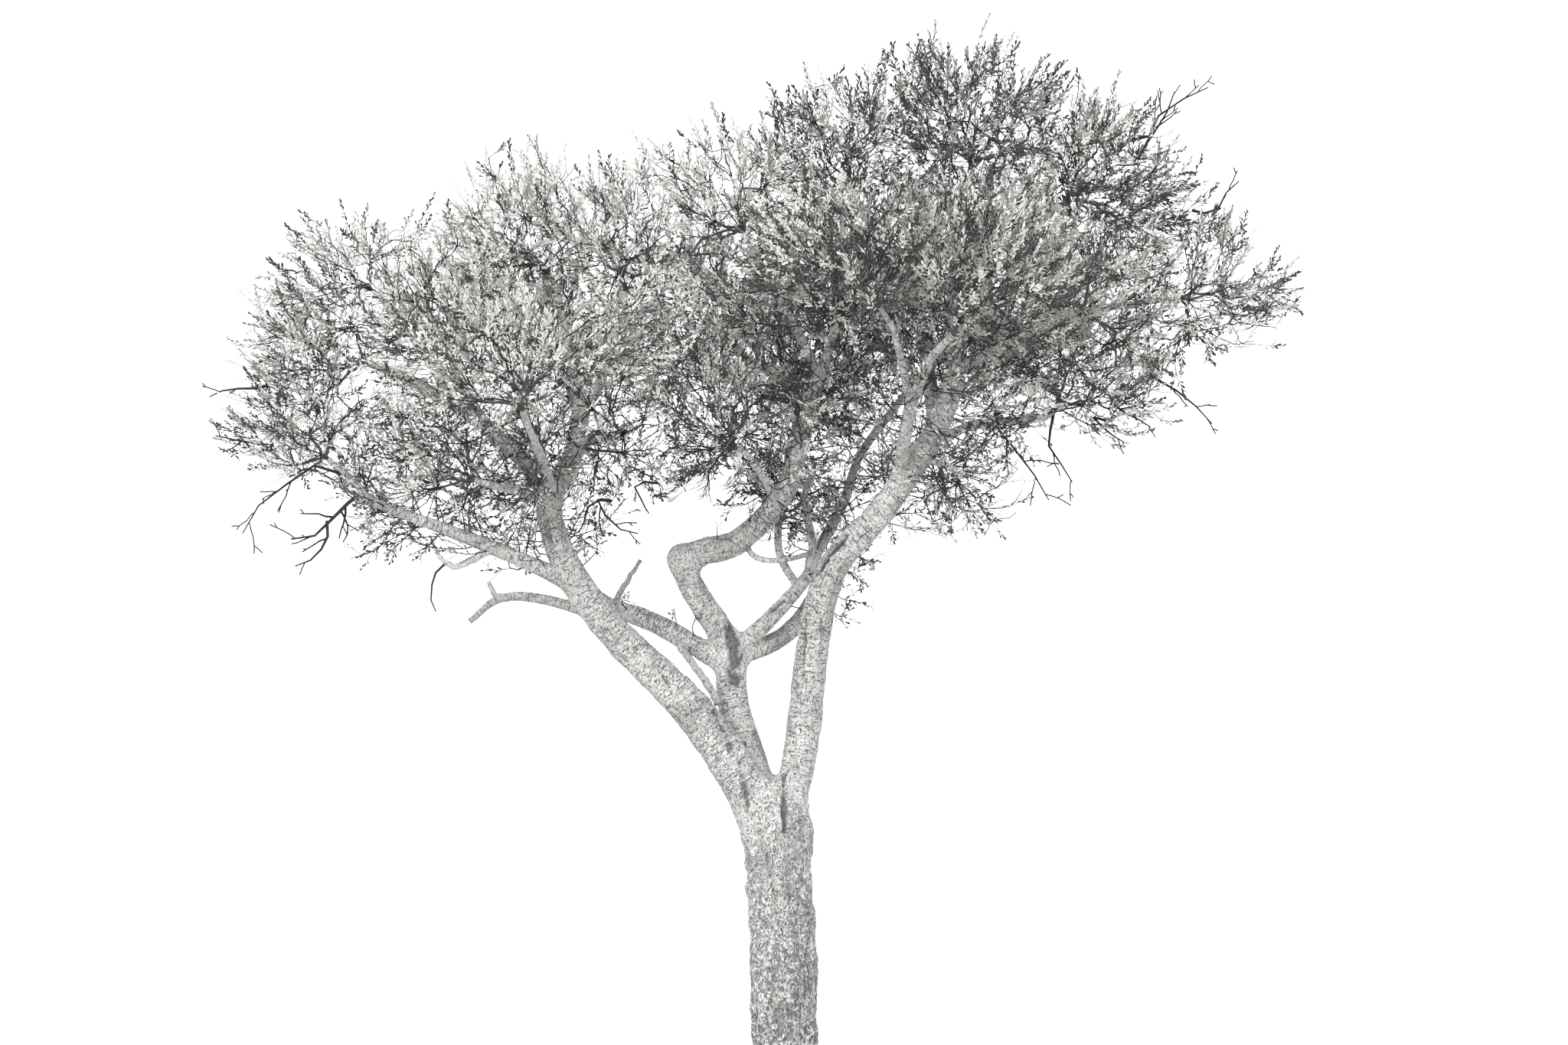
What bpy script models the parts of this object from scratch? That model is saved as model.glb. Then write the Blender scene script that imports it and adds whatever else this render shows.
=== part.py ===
"""A whole acacia, rooted in level ground: its trunk, its boughs and its masses of foliage.

Units are metres with +Z up. The origin is the centre of the flat cut under the trunk, +X runs
to the right across the crown's broad side and +Y runs away behind it. Each bough is cut to the
surface of the limb that carries it, a hair clear of it. Each mass of foliage is twigs that
branch by a seeded rule from one stem, inside a space of its own, with sprays of leaves on them.
"""

import math
import random
from typing import NamedTuple

import bmesh
import bpy
from mathutils import Matrix, Vector
from mathutils.bvhtree import BVHTree
from mathutils.kdtree import KDTree

# ---------------------------------------------------------------- sizes
SEAT_GAP = 0.0003  # clear space between a limb and what carries it
CUT_SWELL = SEAT_GAP * 1.3  # how far a cutter's corners stand out, for its flats to leave that gap
RING_STEP = 0.31  # distance between a limb's rings
THICK_LIMB = 0.055  # a limb with a wider root than this has eight sides, and others have six
TRUNK_SIDES = 16
ROOT_LOBES = 5
FORK_START = (-0.065, 0.0, 3.55)  # where the fork's limbs start, inside the trunk

STEM_LENGTH = 0.10  # straight start of each mass's stem
STEM_TAPER = (0.92, 0.85, 0.75)  # its radii, as shares of its bough's tip
HUB_SHARE = 0.3  # how far in the stem ends, towards the middle of its space
HUB_CLEARANCE = 0.05  # least space from that end to the walls
WIDE_MASS = 0.45  # a mass with less than this half width has smaller and closer sprays

TIPS_PER_MASS = 6
TIP_SPACING = 0.34
TWIG_DEPTHS = (0.35, 0.95)  # how far out twigs end: 1 is the surface of the mass's round body
PATH_PULL = 0.45  # how much a short way back to the stem counts against a near neighbour
LEAST_TURN = 0.1  # cosine of the sharpest turn between a twig and the one that it grows from
SHORTEST_TWIG = 0.05
TWIG_RADIUS = 0.010  # a twig that carries one tip; thicker ones follow the pipe rule
PIPE_POWER = 0.42
TWIG_TAPER = 0.7  # a twig's end, as a share of its start
JOINT_OVERLAP = 0.006  # how far a twig reaches back into the one that it grows from

SPRAYS_PER_MASS = 13
SPRAY_LENGTH = 0.48
SPRAY_WIDTH = 0.29
SPRAY_THICKNESS = 0.018
SPRAY_SHOULDER = 0.50  # where a spray is widest, as a share of its length
SPRAY_SIZES = (0.85, 1.15)
SPRAY_SUNK = 0.004  # how far a spray's root lies behind its twig's axis
SPRAY_SPACING = 0.13  # least space between two sprays, away from their roots
SPRAY_LIFT = 0.15  # how much sprays turn up towards the light
SPRAY_SPLAY = 0.8  # how much sprays turn out from the middle of their mass
TIP_SPRAY_TURN = 0.35  # how much the spray at a twig's tip turns at random
SIDE_SPRAY_TURN = 1.0  # how much the sprays beside a twig do
SPRAY_REACH = 1.2  # how far out sprays may end, on the scale of TWIG_DEPTHS
FAR_TIP_REACH = 1.8  # the same for the sprays that stand out of the mass
TRIES = 8  # seeded aims that a spray is given, before it is skipped

WOOD_CLEARANCE = 0.018  # least space from a twig or spray to a limb or to another mass's stem
SPRAY_CLEARANCE = 0.012  # least space from a spray to the walls of its mass's space
TWIG_CLEARANCE = 0.03  # least space from a twig's axis to those walls
TIP_CLEARANCE = 0.06  # least space from a twig's end to those walls

BARK_COLOUR = (0.60, 0.585, 0.56, 1.0)
DEAD_COLOUR = (0.50, 0.49, 0.475, 1.0)
LEAF_COLOUR = (0.34, 0.36, 0.32, 1.0)


class TrunkRing(NamedTuple):
    """One outline of the trunk: an oval, waved by the buttresses of the roots."""

    height: float
    centre_x: float
    half_x: float
    half_y: float
    lobe: float


TRUNK = [
    TrunkRing(0.00, 0.000, 0.395, 0.375, 0.200),
    TrunkRing(0.07, 0.000, 0.345, 0.330, 0.160),
    TrunkRing(0.18, 0.000, 0.303, 0.293, 0.110),
    TrunkRing(0.38, -0.001, 0.268, 0.262, 0.065),
    TrunkRing(0.75, -0.003, 0.250, 0.246, 0.035),
    TrunkRing(1.40, -0.010, 0.243, 0.240, 0.020),
    TrunkRing(2.10, -0.021, 0.238, 0.236, 0.016),
    TrunkRing(2.70, -0.030, 0.243, 0.238, 0.014),
    TrunkRing(3.15, -0.046, 0.235, 0.231, 0.012),
    TrunkRing(3.45, -0.062, 0.236, 0.228, 0.008),
    TrunkRing(3.80, -0.084, 0.282, 0.222, 0.000),
    TrunkRing(3.88, -0.088, 0.262, 0.200, 0.000),
]


class Limb(NamedTuple):
    """One tapering limb."""

    carrier: str
    share: float  # where it starts, along the limb that carries it
    course: list[tuple[float, float, float]]  # what it passes through after its start
    root: float  # radius
    tip: float  # radius
    lateness: float = 1.0  # 1 thins evenly, and 2 stays thick until past the middle


LIMBS = {
    # The fork's three limbs
    "left_limb": Limb("trunk", 1.0, [(-0.60, -0.12, 4.39), (-1.34, -0.22, 5.16),
        (-1.67, -0.24, 5.85), (-1.47, 0.02, 6.49), (-1.62, 0.10, 7.37)], 0.165, 0.032, 1.2),
    "right_limb": Limb("trunk", 1.0, [(0.10, 0.00, 4.15), (0.19, -0.05, 4.90),
        (0.32, -0.12, 5.45), (0.70, -0.25, 5.91), (1.05, -0.30, 6.44), (1.21, -0.25, 6.95),
        (1.16, -0.10, 7.57), (1.28, 0.02, 8.13)], 0.118, 0.030, 2.0),
    "middle_stem": Limb("trunk", 1.0, [(-0.24, 0.12, 4.08), (-0.38, 0.15, 4.55),
        (-0.39, 0.15, 4.96)], 0.125, 0.105),
    # The middle stem's winding limb, in two pieces that meet where it doubles back
    "sinuous_low": Limb("middle_stem", 0.91, [(-0.46, 0.11, 5.04), (-0.66, 0.03, 5.34),
        (-0.75, 0.00, 5.57)], 0.100, 0.088),
    "sinuous_high": Limb("sinuous_low", 0.95, [(-0.58, 0.00, 5.61), (-0.33, 0.00, 5.69),
        (-0.03, 0.00, 6.00), (0.11, 0.00, 6.40), (0.20, 0.00, 6.76), (0.29, 0.00, 7.02)],
        0.098, 0.036, 1.2),
    # Boughs of the left limb
    "left_upper": Limb("left_limb", 0.64, [(-1.81, -0.15, 6.19), (-2.30, 0.00, 6.62),
        (-2.72, 0.10, 6.86)], 0.070, 0.032),
    "left_low": Limb("left_limb", 0.50, [(-1.70, -0.34, 5.45), (-2.29, -0.54, 5.68),
        (-2.87, -0.62, 5.90), (-3.02, -0.62, 6.05)], 0.066, 0.028, 1.2),
    "left_inner": Limb("left_limb", 0.65, [(-1.84, -0.45, 5.98), (-2.02, -0.60, 6.01)],
        0.045, 0.028),
    "left_front": Limb("left_limb", 0.66, [(-1.68, -0.75, 6.13), (-1.75, -1.15, 6.30)],
        0.048, 0.028),
    "left_hem": Limb("left_limb", 0.77, [(-1.34, -0.20, 6.39), (-1.19, -0.35, 6.41)],
        0.045, 0.027),
    "left_shoulder": Limb("left_limb", 0.81, [(-1.33, 0.00, 6.81), (-1.19, -0.10, 7.21)],
        0.045, 0.027),
    "left_rise": Limb("left_upper", 0.53, [(-2.28, -0.30, 6.74), (-2.35, -0.45, 6.92)],
        0.042, 0.026),
    "left_top": Limb("left_upper", 0.74, [(-2.56, 0.25, 7.01), (-2.84, 0.40, 7.39)],
        0.040, 0.025),
    "dead_limb": Limb("left_limb", 0.46, [(-1.75, -0.33, 5.25), (-2.02, -0.38, 5.24),
        (-2.22, -0.40, 5.08)], 0.045, 0.014, 1.4),
    # Boughs of the right limb
    "crown_left": Limb("right_limb", 0.65, [(1.02, -0.08, 6.80), (0.92, 0.08, 7.34),
        (0.59, 0.10, 7.97)], 0.060, 0.027),
    "right_front": Limb("right_limb", 0.56, [(0.82, -0.50, 6.30), (0.88, -0.82, 6.58),
        (0.98, -1.10, 6.80)], 0.056, 0.032),
    "front_centre": Limb("right_front", 0.58, [(0.82, -1.00, 6.75), (0.76, -1.20, 6.96)],
        0.034, 0.024),
    "right_hem": Limb("right_limb", 0.60, [(1.08, -0.45, 6.19), (1.17, -0.55, 6.14)],
        0.032, 0.022),
    "right_mid": Limb("right_limb", 0.74, [(1.41, -0.32, 6.97), (1.87, -0.32, 7.16)],
        0.050, 0.028),
    "right_tip": Limb("right_mid", 0.70, [(1.94, -0.15, 7.25), (2.28, 0.00, 7.35),
        (2.57, 0.05, 7.40)], 0.036, 0.022),
    "right_centre": Limb("right_limb", 0.77, [(1.29, -0.45, 7.15), (1.36, -0.60, 7.28)],
        0.040, 0.027),
    "right_top": Limb("right_limb", 0.80, [(1.40, -0.10, 7.47), (1.82, 0.10, 7.97)],
        0.045, 0.026),
    # Boughs of the middle stem and of its winding limb
    "left_back": Limb("middle_stem", 0.89, [(-0.91, 0.14, 5.10), (-1.35, 0.32, 5.29),
        (-1.53, 0.62, 5.55), (-1.83, 1.35, 6.42)], 0.078, 0.030, 1.4),
    "right_low": Limb("middle_stem", 0.93, [(0.02, 0.27, 5.06), (0.36, 0.54, 5.56),
        (0.72, 0.70, 6.04), (1.22, 0.82, 6.55), (1.77, 0.85, 6.65)], 0.070, 0.028, 1.2),
    "broken_stem": Limb("middle_stem", 0.95, [(-0.06, 0.12, 5.20), (0.19, 0.25, 5.55),
        (0.13, 0.28, 5.99), (0.18, 0.26, 6.20)], 0.062, 0.016, 1.5),
    "back_right": Limb("broken_stem", 0.58, [(0.41, 0.85, 6.03), (0.55, 1.20, 6.44),
        (0.88, 1.50, 6.91)], 0.046, 0.028),
    "back_centre": Limb("broken_stem", 0.44, [(-0.05, 0.17, 5.62), (-0.03, 0.40, 5.98),
        (0.14, 1.00, 6.49)], 0.032, 0.024),
    "centre_low": Limb("sinuous_high", 0.41, [(-0.13, -0.20, 6.07), (-0.23, -0.35, 6.20)],
        0.036, 0.025),
    "centre_mid": Limb("sinuous_high", 0.47, [(0.04, 0.22, 6.38), (0.09, 0.38, 6.76),
        (-0.18, 0.45, 6.98)], 0.045, 0.027),
    "centre_top": Limb("sinuous_high", 0.91, [(0.10, -0.20, 7.12), (-0.19, -0.30, 7.64)],
        0.036, 0.025),
    "link_branch": Limb("sinuous_high", 0.24, [(-0.23, 0.04, 5.58), (-0.05, 0.05, 5.55),
        (0.19, 0.25, 5.62)], 0.022, 0.018),
}


class Mass(NamedTuple):
    """One mass of foliage."""

    carrier: str  # the limb whose tip its stem grows on from
    centre: tuple[float, float, float]
    half_widths: tuple[float, float, float]
    far_tips: list[tuple[float, float, float]] = []  # ends of sprays that stand out of it


MASSES = {
    # The left lobe of the crown
    "foliage_left_peak": Mass("left_limb", (-1.84, 0.10, 7.93), (0.59, 0.95, 0.64),
        [(-2.02, 0.00, 8.52), (-1.62, 0.10, 8.47), (-2.26, 0.05, 8.32)]),
    "foliage_left_shoulder": Mass("left_shoulder", (-1.14, -0.05, 7.81), (0.48, 0.95, 0.60),
        [(-1.05, -0.05, 8.44), (-1.33, 0.00, 8.38)]),
    "foliage_left_top": Mass("left_top", (-3.15, 0.35, 7.68), (0.59, 0.90, 0.44),
        [(-3.48, 0.25, 8.08), (-2.90, 0.30, 8.00), (-3.62, 0.30, 7.80)]),
    "foliage_left_tip_mid": Mass("left_upper", (-3.40, 0.10, 7.12), (0.50, 0.90, 0.40),
        [(-3.82, 0.05, 7.20), (-3.84, 0.10, 6.86), (-3.66, 0.00, 7.50)]),
    "foliage_left_tip_low": Mass("left_low", (-3.45, -0.55, 6.41), (0.51, 0.80, 0.36),
        [(-4.00, -0.45, 6.45), (-3.86, -0.50, 6.23)]),
    "foliage_left_under": Mass("left_inner", (-2.34, -0.50, 6.13), (0.58, 0.80, 0.39)),
    "foliage_left_rise": Mass("left_rise", (-2.45, -0.45, 7.17), (0.47, 0.80, 0.54)),
    "foliage_left_hem": Mass("left_hem", (-1.14, -0.45, 6.41), (0.44, 0.80, 0.43)),
    "foliage_left_front": Mass("left_front", (-1.91, -1.75, 6.74), (0.70, 0.80, 0.50)),
    "foliage_left_back": Mass("left_back", (-2.15, 1.80, 7.38), (0.85, 0.90, 0.60)),
    # The middle of the crown
    "foliage_centre_top": Mass("centre_top", (-0.45, -0.20, 8.12), (0.52, 0.95, 0.52),
        [(-0.53, -0.20, 8.78), (-0.83, -0.15, 8.52)]),
    "foliage_centre_mid": Mass("centre_mid", (-0.56, 0.40, 7.31), (0.54, 0.90, 0.47)),
    "foliage_centre_low": Mass("centre_low", (-0.52, -0.50, 6.38), (0.46, 0.80, 0.39),
        [(-0.72, -0.50, 6.02)]),
    "foliage_right_heart": Mass("sinuous_high", (0.40, 0.00, 7.39), (0.48, 0.80, 0.47)),
    "foliage_front_centre": Mass("front_centre", (0.41, -1.70, 7.50), (0.63, 0.85, 0.55)),
    "foliage_back_centre": Mass("back_centre", (0.25, 1.75, 7.31), (0.74, 0.85, 0.69)),
    # The right lobe of the crown
    "foliage_crown_top": Mass("right_limb", (1.36, 0.00, 8.72), (0.61, 1.05, 0.69),
        [(1.45, 0.00, 9.46), (1.66, 0.05, 9.26), (1.05, 0.00, 9.20)]),
    "foliage_crown_left": Mass("crown_left", (0.37, 0.10, 8.54), (0.56, 1.05, 0.58),
        [(0.66, 0.10, 9.05), (0.35, 0.05, 8.98), (-0.03, 0.10, 8.82)]),
    "foliage_right_top": Mass("right_top", (2.26, 0.10, 8.34), (0.61, 1.00, 0.61),
        [(2.48, 0.05, 8.84), (2.12, 0.05, 8.98), (3.02, 0.05, 8.92)]),
    "foliage_right_centre": Mass("right_centre", (1.40, -0.20, 7.64), (0.49, 0.80, 0.41)),
    "foliage_right_mid": Mass("right_mid", (2.26, -0.30, 7.32), (0.50, 0.90, 0.41)),
    "foliage_right_tip": Mass("right_tip", (3.07, 0.05, 7.45), (0.54, 0.70, 0.40),
        [(3.58, 0.05, 7.67), (3.26, 0.05, 7.90), (3.42, 0.00, 7.30)]),
    "foliage_right_low": Mass("right_low", (2.13, 0.75, 6.85), (0.68, 0.85, 0.35),
        [(2.84, 0.70, 6.62)]),
    "foliage_right_hem": Mass("right_hem", (1.16, -0.55, 5.98), (0.33, 0.50, 0.28)),
    "foliage_right_front": Mass("right_front", (1.48, -1.75, 7.29), (0.65, 0.85, 0.55)),
    "foliage_back_right": Mass("back_right", (1.56, 1.85, 7.61), (0.83, 0.90, 0.63)),
}


# ---------------------------------------------------------------- scene helpers
def clear_scene():
    for obj in list(bpy.data.objects):
        bpy.data.objects.remove(obj)


def new_collection(name):
    collection = bpy.data.collections.new(name)
    bpy.context.scene.collection.children.link(collection)
    return collection


def plain_material(name, colour, roughness):
    material = bpy.data.materials.new(name)
    material.use_nodes = True
    shader = material.node_tree.nodes["Principled BSDF"]
    shader.inputs["Base Color"].default_value = colour
    shader.inputs["Roughness"].default_value = roughness
    shader.inputs["Metallic"].default_value = 0.0
    return material


def dress(obj, material):
    obj.data.materials.clear()
    obj.data.materials.append(material)
    obj.data.shade_smooth()
    obj.data.set_sharp_from_angle(angle=math.radians(40))


def object_from(bm, name, collection):
    mesh = bpy.data.meshes.new(name)
    bm.to_mesh(mesh)
    bm.free()
    obj = bpy.data.objects.new(name, mesh)
    collection.objects.link(obj)
    return obj


def as_guide(obj):
    """Leaves an object out of the part, as one that only shapes others."""
    obj.hide_render = True
    obj.display_type = "WIRE"
    return obj


def evaluated_mesh(obj):
    """The object's mesh with its bevel or its modifiers applied."""
    bpy.context.view_layer.update()
    graph = bpy.context.evaluated_depsgraph_get()
    return bpy.data.meshes.new_from_object(obj.evaluated_get(graph))


def apply_modifiers(obj):
    mesh = evaluated_mesh(obj)
    obj.modifiers.clear()
    obj.data = mesh


def solid_from_curve(curve_object, collection):
    """Turns a bevelled curve into one closed mesh object of the same name."""
    mesh = evaluated_mesh(curve_object)
    bm = bmesh.new()
    bm.from_mesh(mesh)
    bmesh.ops.remove_doubles(bm, verts=bm.verts, dist=0.00002)
    bmesh.ops.recalc_face_normals(bm, faces=bm.faces)
    name = curve_object.name
    placed = curve_object.matrix_world.copy()
    bpy.data.objects.remove(curve_object)
    bpy.data.meshes.remove(mesh)
    obj = object_from(bm, name, collection)
    obj.matrix_world = placed
    return obj


def split_quads(obj):
    """Cuts each bent quad the same way in a limb and in its swollen copy."""
    bm = bmesh.new()
    bm.from_mesh(obj.data)
    bmesh.ops.triangulate(bm, faces=bm.faces, quad_method="FIXED")
    bm.to_mesh(obj.data)
    bm.free()


def keep_piece_at(obj, point):
    """Keeps only the connected piece of a mesh that comes nearest to the point."""
    bm = bmesh.new()
    bm.from_mesh(obj.data)
    unseen = set(bm.verts)
    pieces = []
    while unseen:
        piece = [unseen.pop()]
        for vert in piece:
            for edge in vert.link_edges:
                other = edge.other_vert(vert)
                if other in unseen:
                    unseen.remove(other)
                    piece.append(other)
        pieces.append(piece)
    pieces.sort(key=lambda piece: min((vert.co - point).length for vert in piece))
    scraps = [vert for piece in pieces[1:] for vert in piece]
    bmesh.ops.delete(bm, geom=scraps, context="VERTS")
    bm.to_mesh(obj.data)
    bm.free()


# ---------------------------------------------------------------- routes and tubes
def smooth_route(points, step):
    """Points about a step apart on a smooth line through the given ones."""
    knots = [Vector(point) for point in points]
    knots = [2 * knots[0] - knots[1], *knots, 2 * knots[-1] - knots[-2]]
    fine = []
    for a, b, c, d in zip(knots, knots[1:], knots[2:], knots[3:]):
        for k in range(12):
            t = k / 12
            straight = 2 * b + (c - a) * t
            bend = (2 * a - 5 * b + 4 * c - d) * t**2 + (3 * b - a - 3 * c + d) * t**3
            fine.append((straight + bend) / 2)
    fine.append(knots[-2])
    count = max(2, round(route_length(fine) / step))
    return [point_at(fine, k / count) for k in range(count)] + [fine[-1]]


def route_length(points):
    return sum((b - a).length for a, b in zip(points, points[1:]))


def point_at(points, share):
    """The point that lies a share of the way along a route."""
    left = share * route_length(points)
    for a, b in zip(points, points[1:]):
        length = (b - a).length
        if left <= length:
            return a.lerp(b, left / length)
        left -= length
    return points[-1]


def limb_line(name):
    """The points along a limb and its radius at each."""
    limb = LIMBS[name]
    if limb.carrier == "trunk":
        start = Vector(FORK_START)
    else:
        start = point_at(limb_line(limb.carrier)[0], limb.share)
    points = smooth_route([start, *limb.course], RING_STEP)
    last = len(points) - 1
    thinning = limb.root - limb.tip
    radii = [limb.root - thinning * (k / last) ** limb.lateness for k in range(last + 1)]
    return points, radii


def limb_sides(name):
    return 8 if LIMBS[name].root > THICK_LIMB else 6


def tube(name, points, radii, collection, sides=8, profile=None):
    """A closed tube of six or eight sides, or one with the profile's outline."""
    data = bpy.data.curves.new(name, "CURVE")
    data.dimensions = "3D"
    data.use_fill_caps = True
    if profile:
        data.bevel_mode = "OBJECT"
        data.bevel_object = profile
    else:
        data.bevel_depth = 1.0
        data.bevel_resolution = sides // 2 - 2
    spline = data.splines.new("POLY")
    spline.points.add(len(points) - 1)
    for knot, point, radius in zip(spline.points, points, radii):
        knot.co = (*point, 1.0)
        knot.radius = radius
    curve_object = bpy.data.objects.new(name, data)
    collection.objects.link(curve_object)
    return solid_from_curve(curve_object, collection)


def three_sided_profile(collection):
    """The unit triangle that twigs are swept from."""
    data = bpy.data.curves.new("twig_profile", "CURVE")
    data.dimensions = "2D"
    spline = data.splines.new("POLY")
    spline.points.add(2)
    for k, knot in enumerate(spline.points):
        angle = 2 * math.pi * k / 3
        knot.co = (math.cos(angle), math.sin(angle), 0.0, 1.0)
    spline.use_cyclic_u = True
    profile = bpy.data.objects.new("twig_profile", data)
    collection.objects.link(profile)
    return as_guide(profile)


# ---------------------------------------------------------------- trunk and limbs
def build_trunk(collection):
    """A loft of waved ovals, from the flat cut at the ground to the fork."""
    bm = bmesh.new()
    loops = []
    for ring in TRUNK:
        loop = []
        for k in range(TRUNK_SIDES):
            angle = 2 * math.pi * k / TRUNK_SIDES
            swell = 1 + ring.lobe * math.cos(ROOT_LOBES * angle + 0.6)
            x = ring.centre_x + ring.half_x * swell * math.cos(angle)
            y = ring.half_y * swell * math.sin(angle)
            loop.append(bm.verts.new((x, y, ring.height)))
        loops.append(loop)
    for low, high in zip(loops, loops[1:]):
        for k in range(TRUNK_SIDES):
            after = (k + 1) % TRUNK_SIDES
            bm.faces.new((low[k], low[after], high[after], high[k]))
    bm.faces.new(reversed(loops[0]))
    bm.faces.new(loops[-1])
    trunk = object_from(bm, "trunk", collection)
    split_quads(trunk)
    return trunk


def swollen_trunk(trunk, collection):
    """A copy of the trunk that stands out from it by a hair, to cut limbs with."""
    bm = bmesh.new()
    bm.from_mesh(trunk.data)
    bm.normal_update()
    moves = [vert.normal * vert.calc_shell_factor() * CUT_SWELL for vert in bm.verts]
    for vert, move in zip(bm.verts, moves):
        vert.co += move
    return as_guide(object_from(bm, "seat_trunk", collection))


def swollen_limb(name, collection):
    """A limb's whole tube, a hair larger, to cut other limbs with."""
    points, radii = limb_line(name)
    points[0] -= (points[1] - points[0]).normalized() * CUT_SWELL
    points[-1] += (points[-1] - points[-2]).normalized() * CUT_SWELL
    radii = [radius + CUT_SWELL for radius in radii]
    swollen = tube("seat_" + name, points, radii, collection, limb_sides(name))
    split_quads(swollen)
    return as_guide(swollen)


def surface_tree(obj):
    bm = bmesh.new()
    bm.from_mesh(obj.data)
    found = BVHTree.FromBMesh(bm)
    bm.free()
    return found


def seat(limb, tip, cutters):
    """Cuts a limb to the surfaces of the limbs that it meets, and keeps its outer end."""
    own_surface = surface_tree(limb)
    for cutter in cutters.objects:
        if own_surface.overlap(surface_tree(cutter)):
            cut = limb.modifiers.new("seat", "BOOLEAN")
            cut.operation = "DIFFERENCE"
            cut.object = cutter
    apply_modifiers(limb)
    keep_piece_at(limb, tip)


def build_limbs(collection, cutters):
    """The trunk and every limb, each cut to those built before it."""
    built = {"trunk": build_trunk(collection)}
    swollen_trunk(built["trunk"], cutters)
    for name in LIMBS:
        points, radii = limb_line(name)
        built[name] = tube(name, points, radii, collection, limb_sides(name))
        split_quads(built[name])
        seat(built[name], points[-1], cutters)
        swollen_limb(name, cutters)
    for cutter in list(cutters.objects):
        bpy.data.objects.remove(cutter)
    return built


# ---------------------------------------------------------------- spaces and clearances
def along(start, end, step=0.04):
    """Points from start to end, no more than a step apart."""
    count = max(1, math.ceil((end - start).length / step))
    return [start.lerp(end, k / count) for k in range(count + 1)]


class Space:
    """The room that one mass keeps to: a rounded body, walled off from its neighbours."""

    def __init__(self, mass):
        self.centre = Vector(mass.centre)
        self.half_widths = Vector(mass.half_widths)
        self.grain = min(1.0, min(mass.half_widths) / WIDE_MASS)  # the size of what it holds
        self.walls = []

    def depth(self, point):
        """How far out a point lies: 0 at the centre and 1 on the rounded body's surface."""
        way = point - self.centre
        return Vector(w / half for w, half in zip(way, self.half_widths)).length

    def add_wall(self, other):
        """A flat wall between two centres, nearer to the smaller body's."""
        way = other.centre - self.centre
        own, others = 1 / self.depth(other.centre), 1 / other.depth(self.centre)
        normal = way.normalized()
        offset = (self.centre + way * own / (own + others)).dot(normal)
        self.walls.append((normal, offset))

    def holds(self, point, clearance=SPRAY_CLEARANCE):
        return all(normal.dot(point) < offset - clearance for normal, offset in self.walls)


def make_spaces():
    spaces = {name: Space(mass) for name, mass in MASSES.items()}
    for name, space in spaces.items():
        for other_name, other in spaces.items():
            if other_name != name:
                space.add_wall(other)
    return spaces


class Wood:
    """The limbs and the masses' stems as balls along their lines, to keep clear of."""

    BALL_STEP = 0.03

    def __init__(self):
        self.balls = []
        self.tree = None

    def add(self, owner, points, radii):
        for start, end, wide, thin in zip(points, points[1:], radii, radii[1:]):
            places = along(start, end, self.BALL_STEP)
            for k, place in enumerate(places):
                radius = wide + (thin - wide) * k / (len(places) - 1)
                self.balls.append((place, radius, owner))

    def settle(self):
        self.tree = KDTree(len(self.balls))
        for k, (place, _, _) in enumerate(self.balls):
            self.tree.insert(place, k)
        self.tree.balance()
        self.reach = max(radius for _, radius, _ in self.balls) + TWIG_RADIUS + WOOD_CLEARANCE

    def clears(self, points, owner):
        """Whether a thin thing through the points misses all wood but its owner's."""
        for point in points:
            for _, k, distance in self.tree.find_range(point, self.reach):
                _, radius, held_by = self.balls[k]
                if held_by != owner and distance < radius + TWIG_RADIUS + WOOD_CLEARANCE:
                    return False
        return True


# ---------------------------------------------------------------- the twigs' rule
class Twig:
    """One joint of a mass's twigs."""

    def __init__(self, point, parent=None, heading=None):
        self.point = point
        self.parent = parent
        self.heading = heading or (point - parent.point).normalized()
        self.path = parent.path + (point - parent.point).length if parent else 0.0
        self.tips = 0


def random_way(rng):
    return Vector(rng.gauss(0, 1) for _ in range(3)).normalized()


def scatter(space, taken, rng):
    """Seeded ends for twigs, spread evenly about a space, after those already taken."""
    found = list(taken)
    tries = 0
    while len(found) < TIPS_PER_MASS and tries < 60 * TIPS_PER_MASS:
        tries += 1
        way = Vector(w * h for w, h in zip(random_way(rng), space.half_widths))
        point = space.centre + way * rng.uniform(*TWIG_DEPTHS)
        apart = all((point - f).length > TIP_SPACING * space.grain for f in found)
        if apart and space.holds(point, TIP_CLEARANCE):
            found.append(point)
    return found


def grow(stem, targets, is_clear):
    """Joins each target to the twig that costs least: the gap plus a share of the way back.

    Targets are taken from the stem outwards. A twig doesn't turn back on itself, and a way that
    isn't clear is left for the next cheapest. A target that nothing reaches is skipped.
    """
    twigs = list(stem)
    hub = stem[-1].point
    for target in sorted(targets, key=lambda point: (point - hub).length):
        twigs_by_cost = sorted(
            twigs, key=lambda twig: (target - twig.point).length + PATH_PULL * twig.path
        )
        for twig in twigs_by_cost:
            way = target - twig.point
            leads_on = way.normalized().dot(twig.heading) > LEAST_TURN
            long_enough = way.length > SHORTEST_TWIG
            if leads_on and long_enough and is_clear(along(twig.point, target)):
                twigs.append(Twig(target, twig))
                break
    parents = {twig.parent for twig in twigs}
    for twig in twigs:
        step = None if twig in parents else twig
        while step:
            step.tips += 1
            step = step.parent
    return twigs


def twig_radius(tips):
    """The pipe rule: a twig is thicker the more tips it feeds."""
    return TWIG_RADIUS * max(1, tips) ** PIPE_POWER


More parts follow.
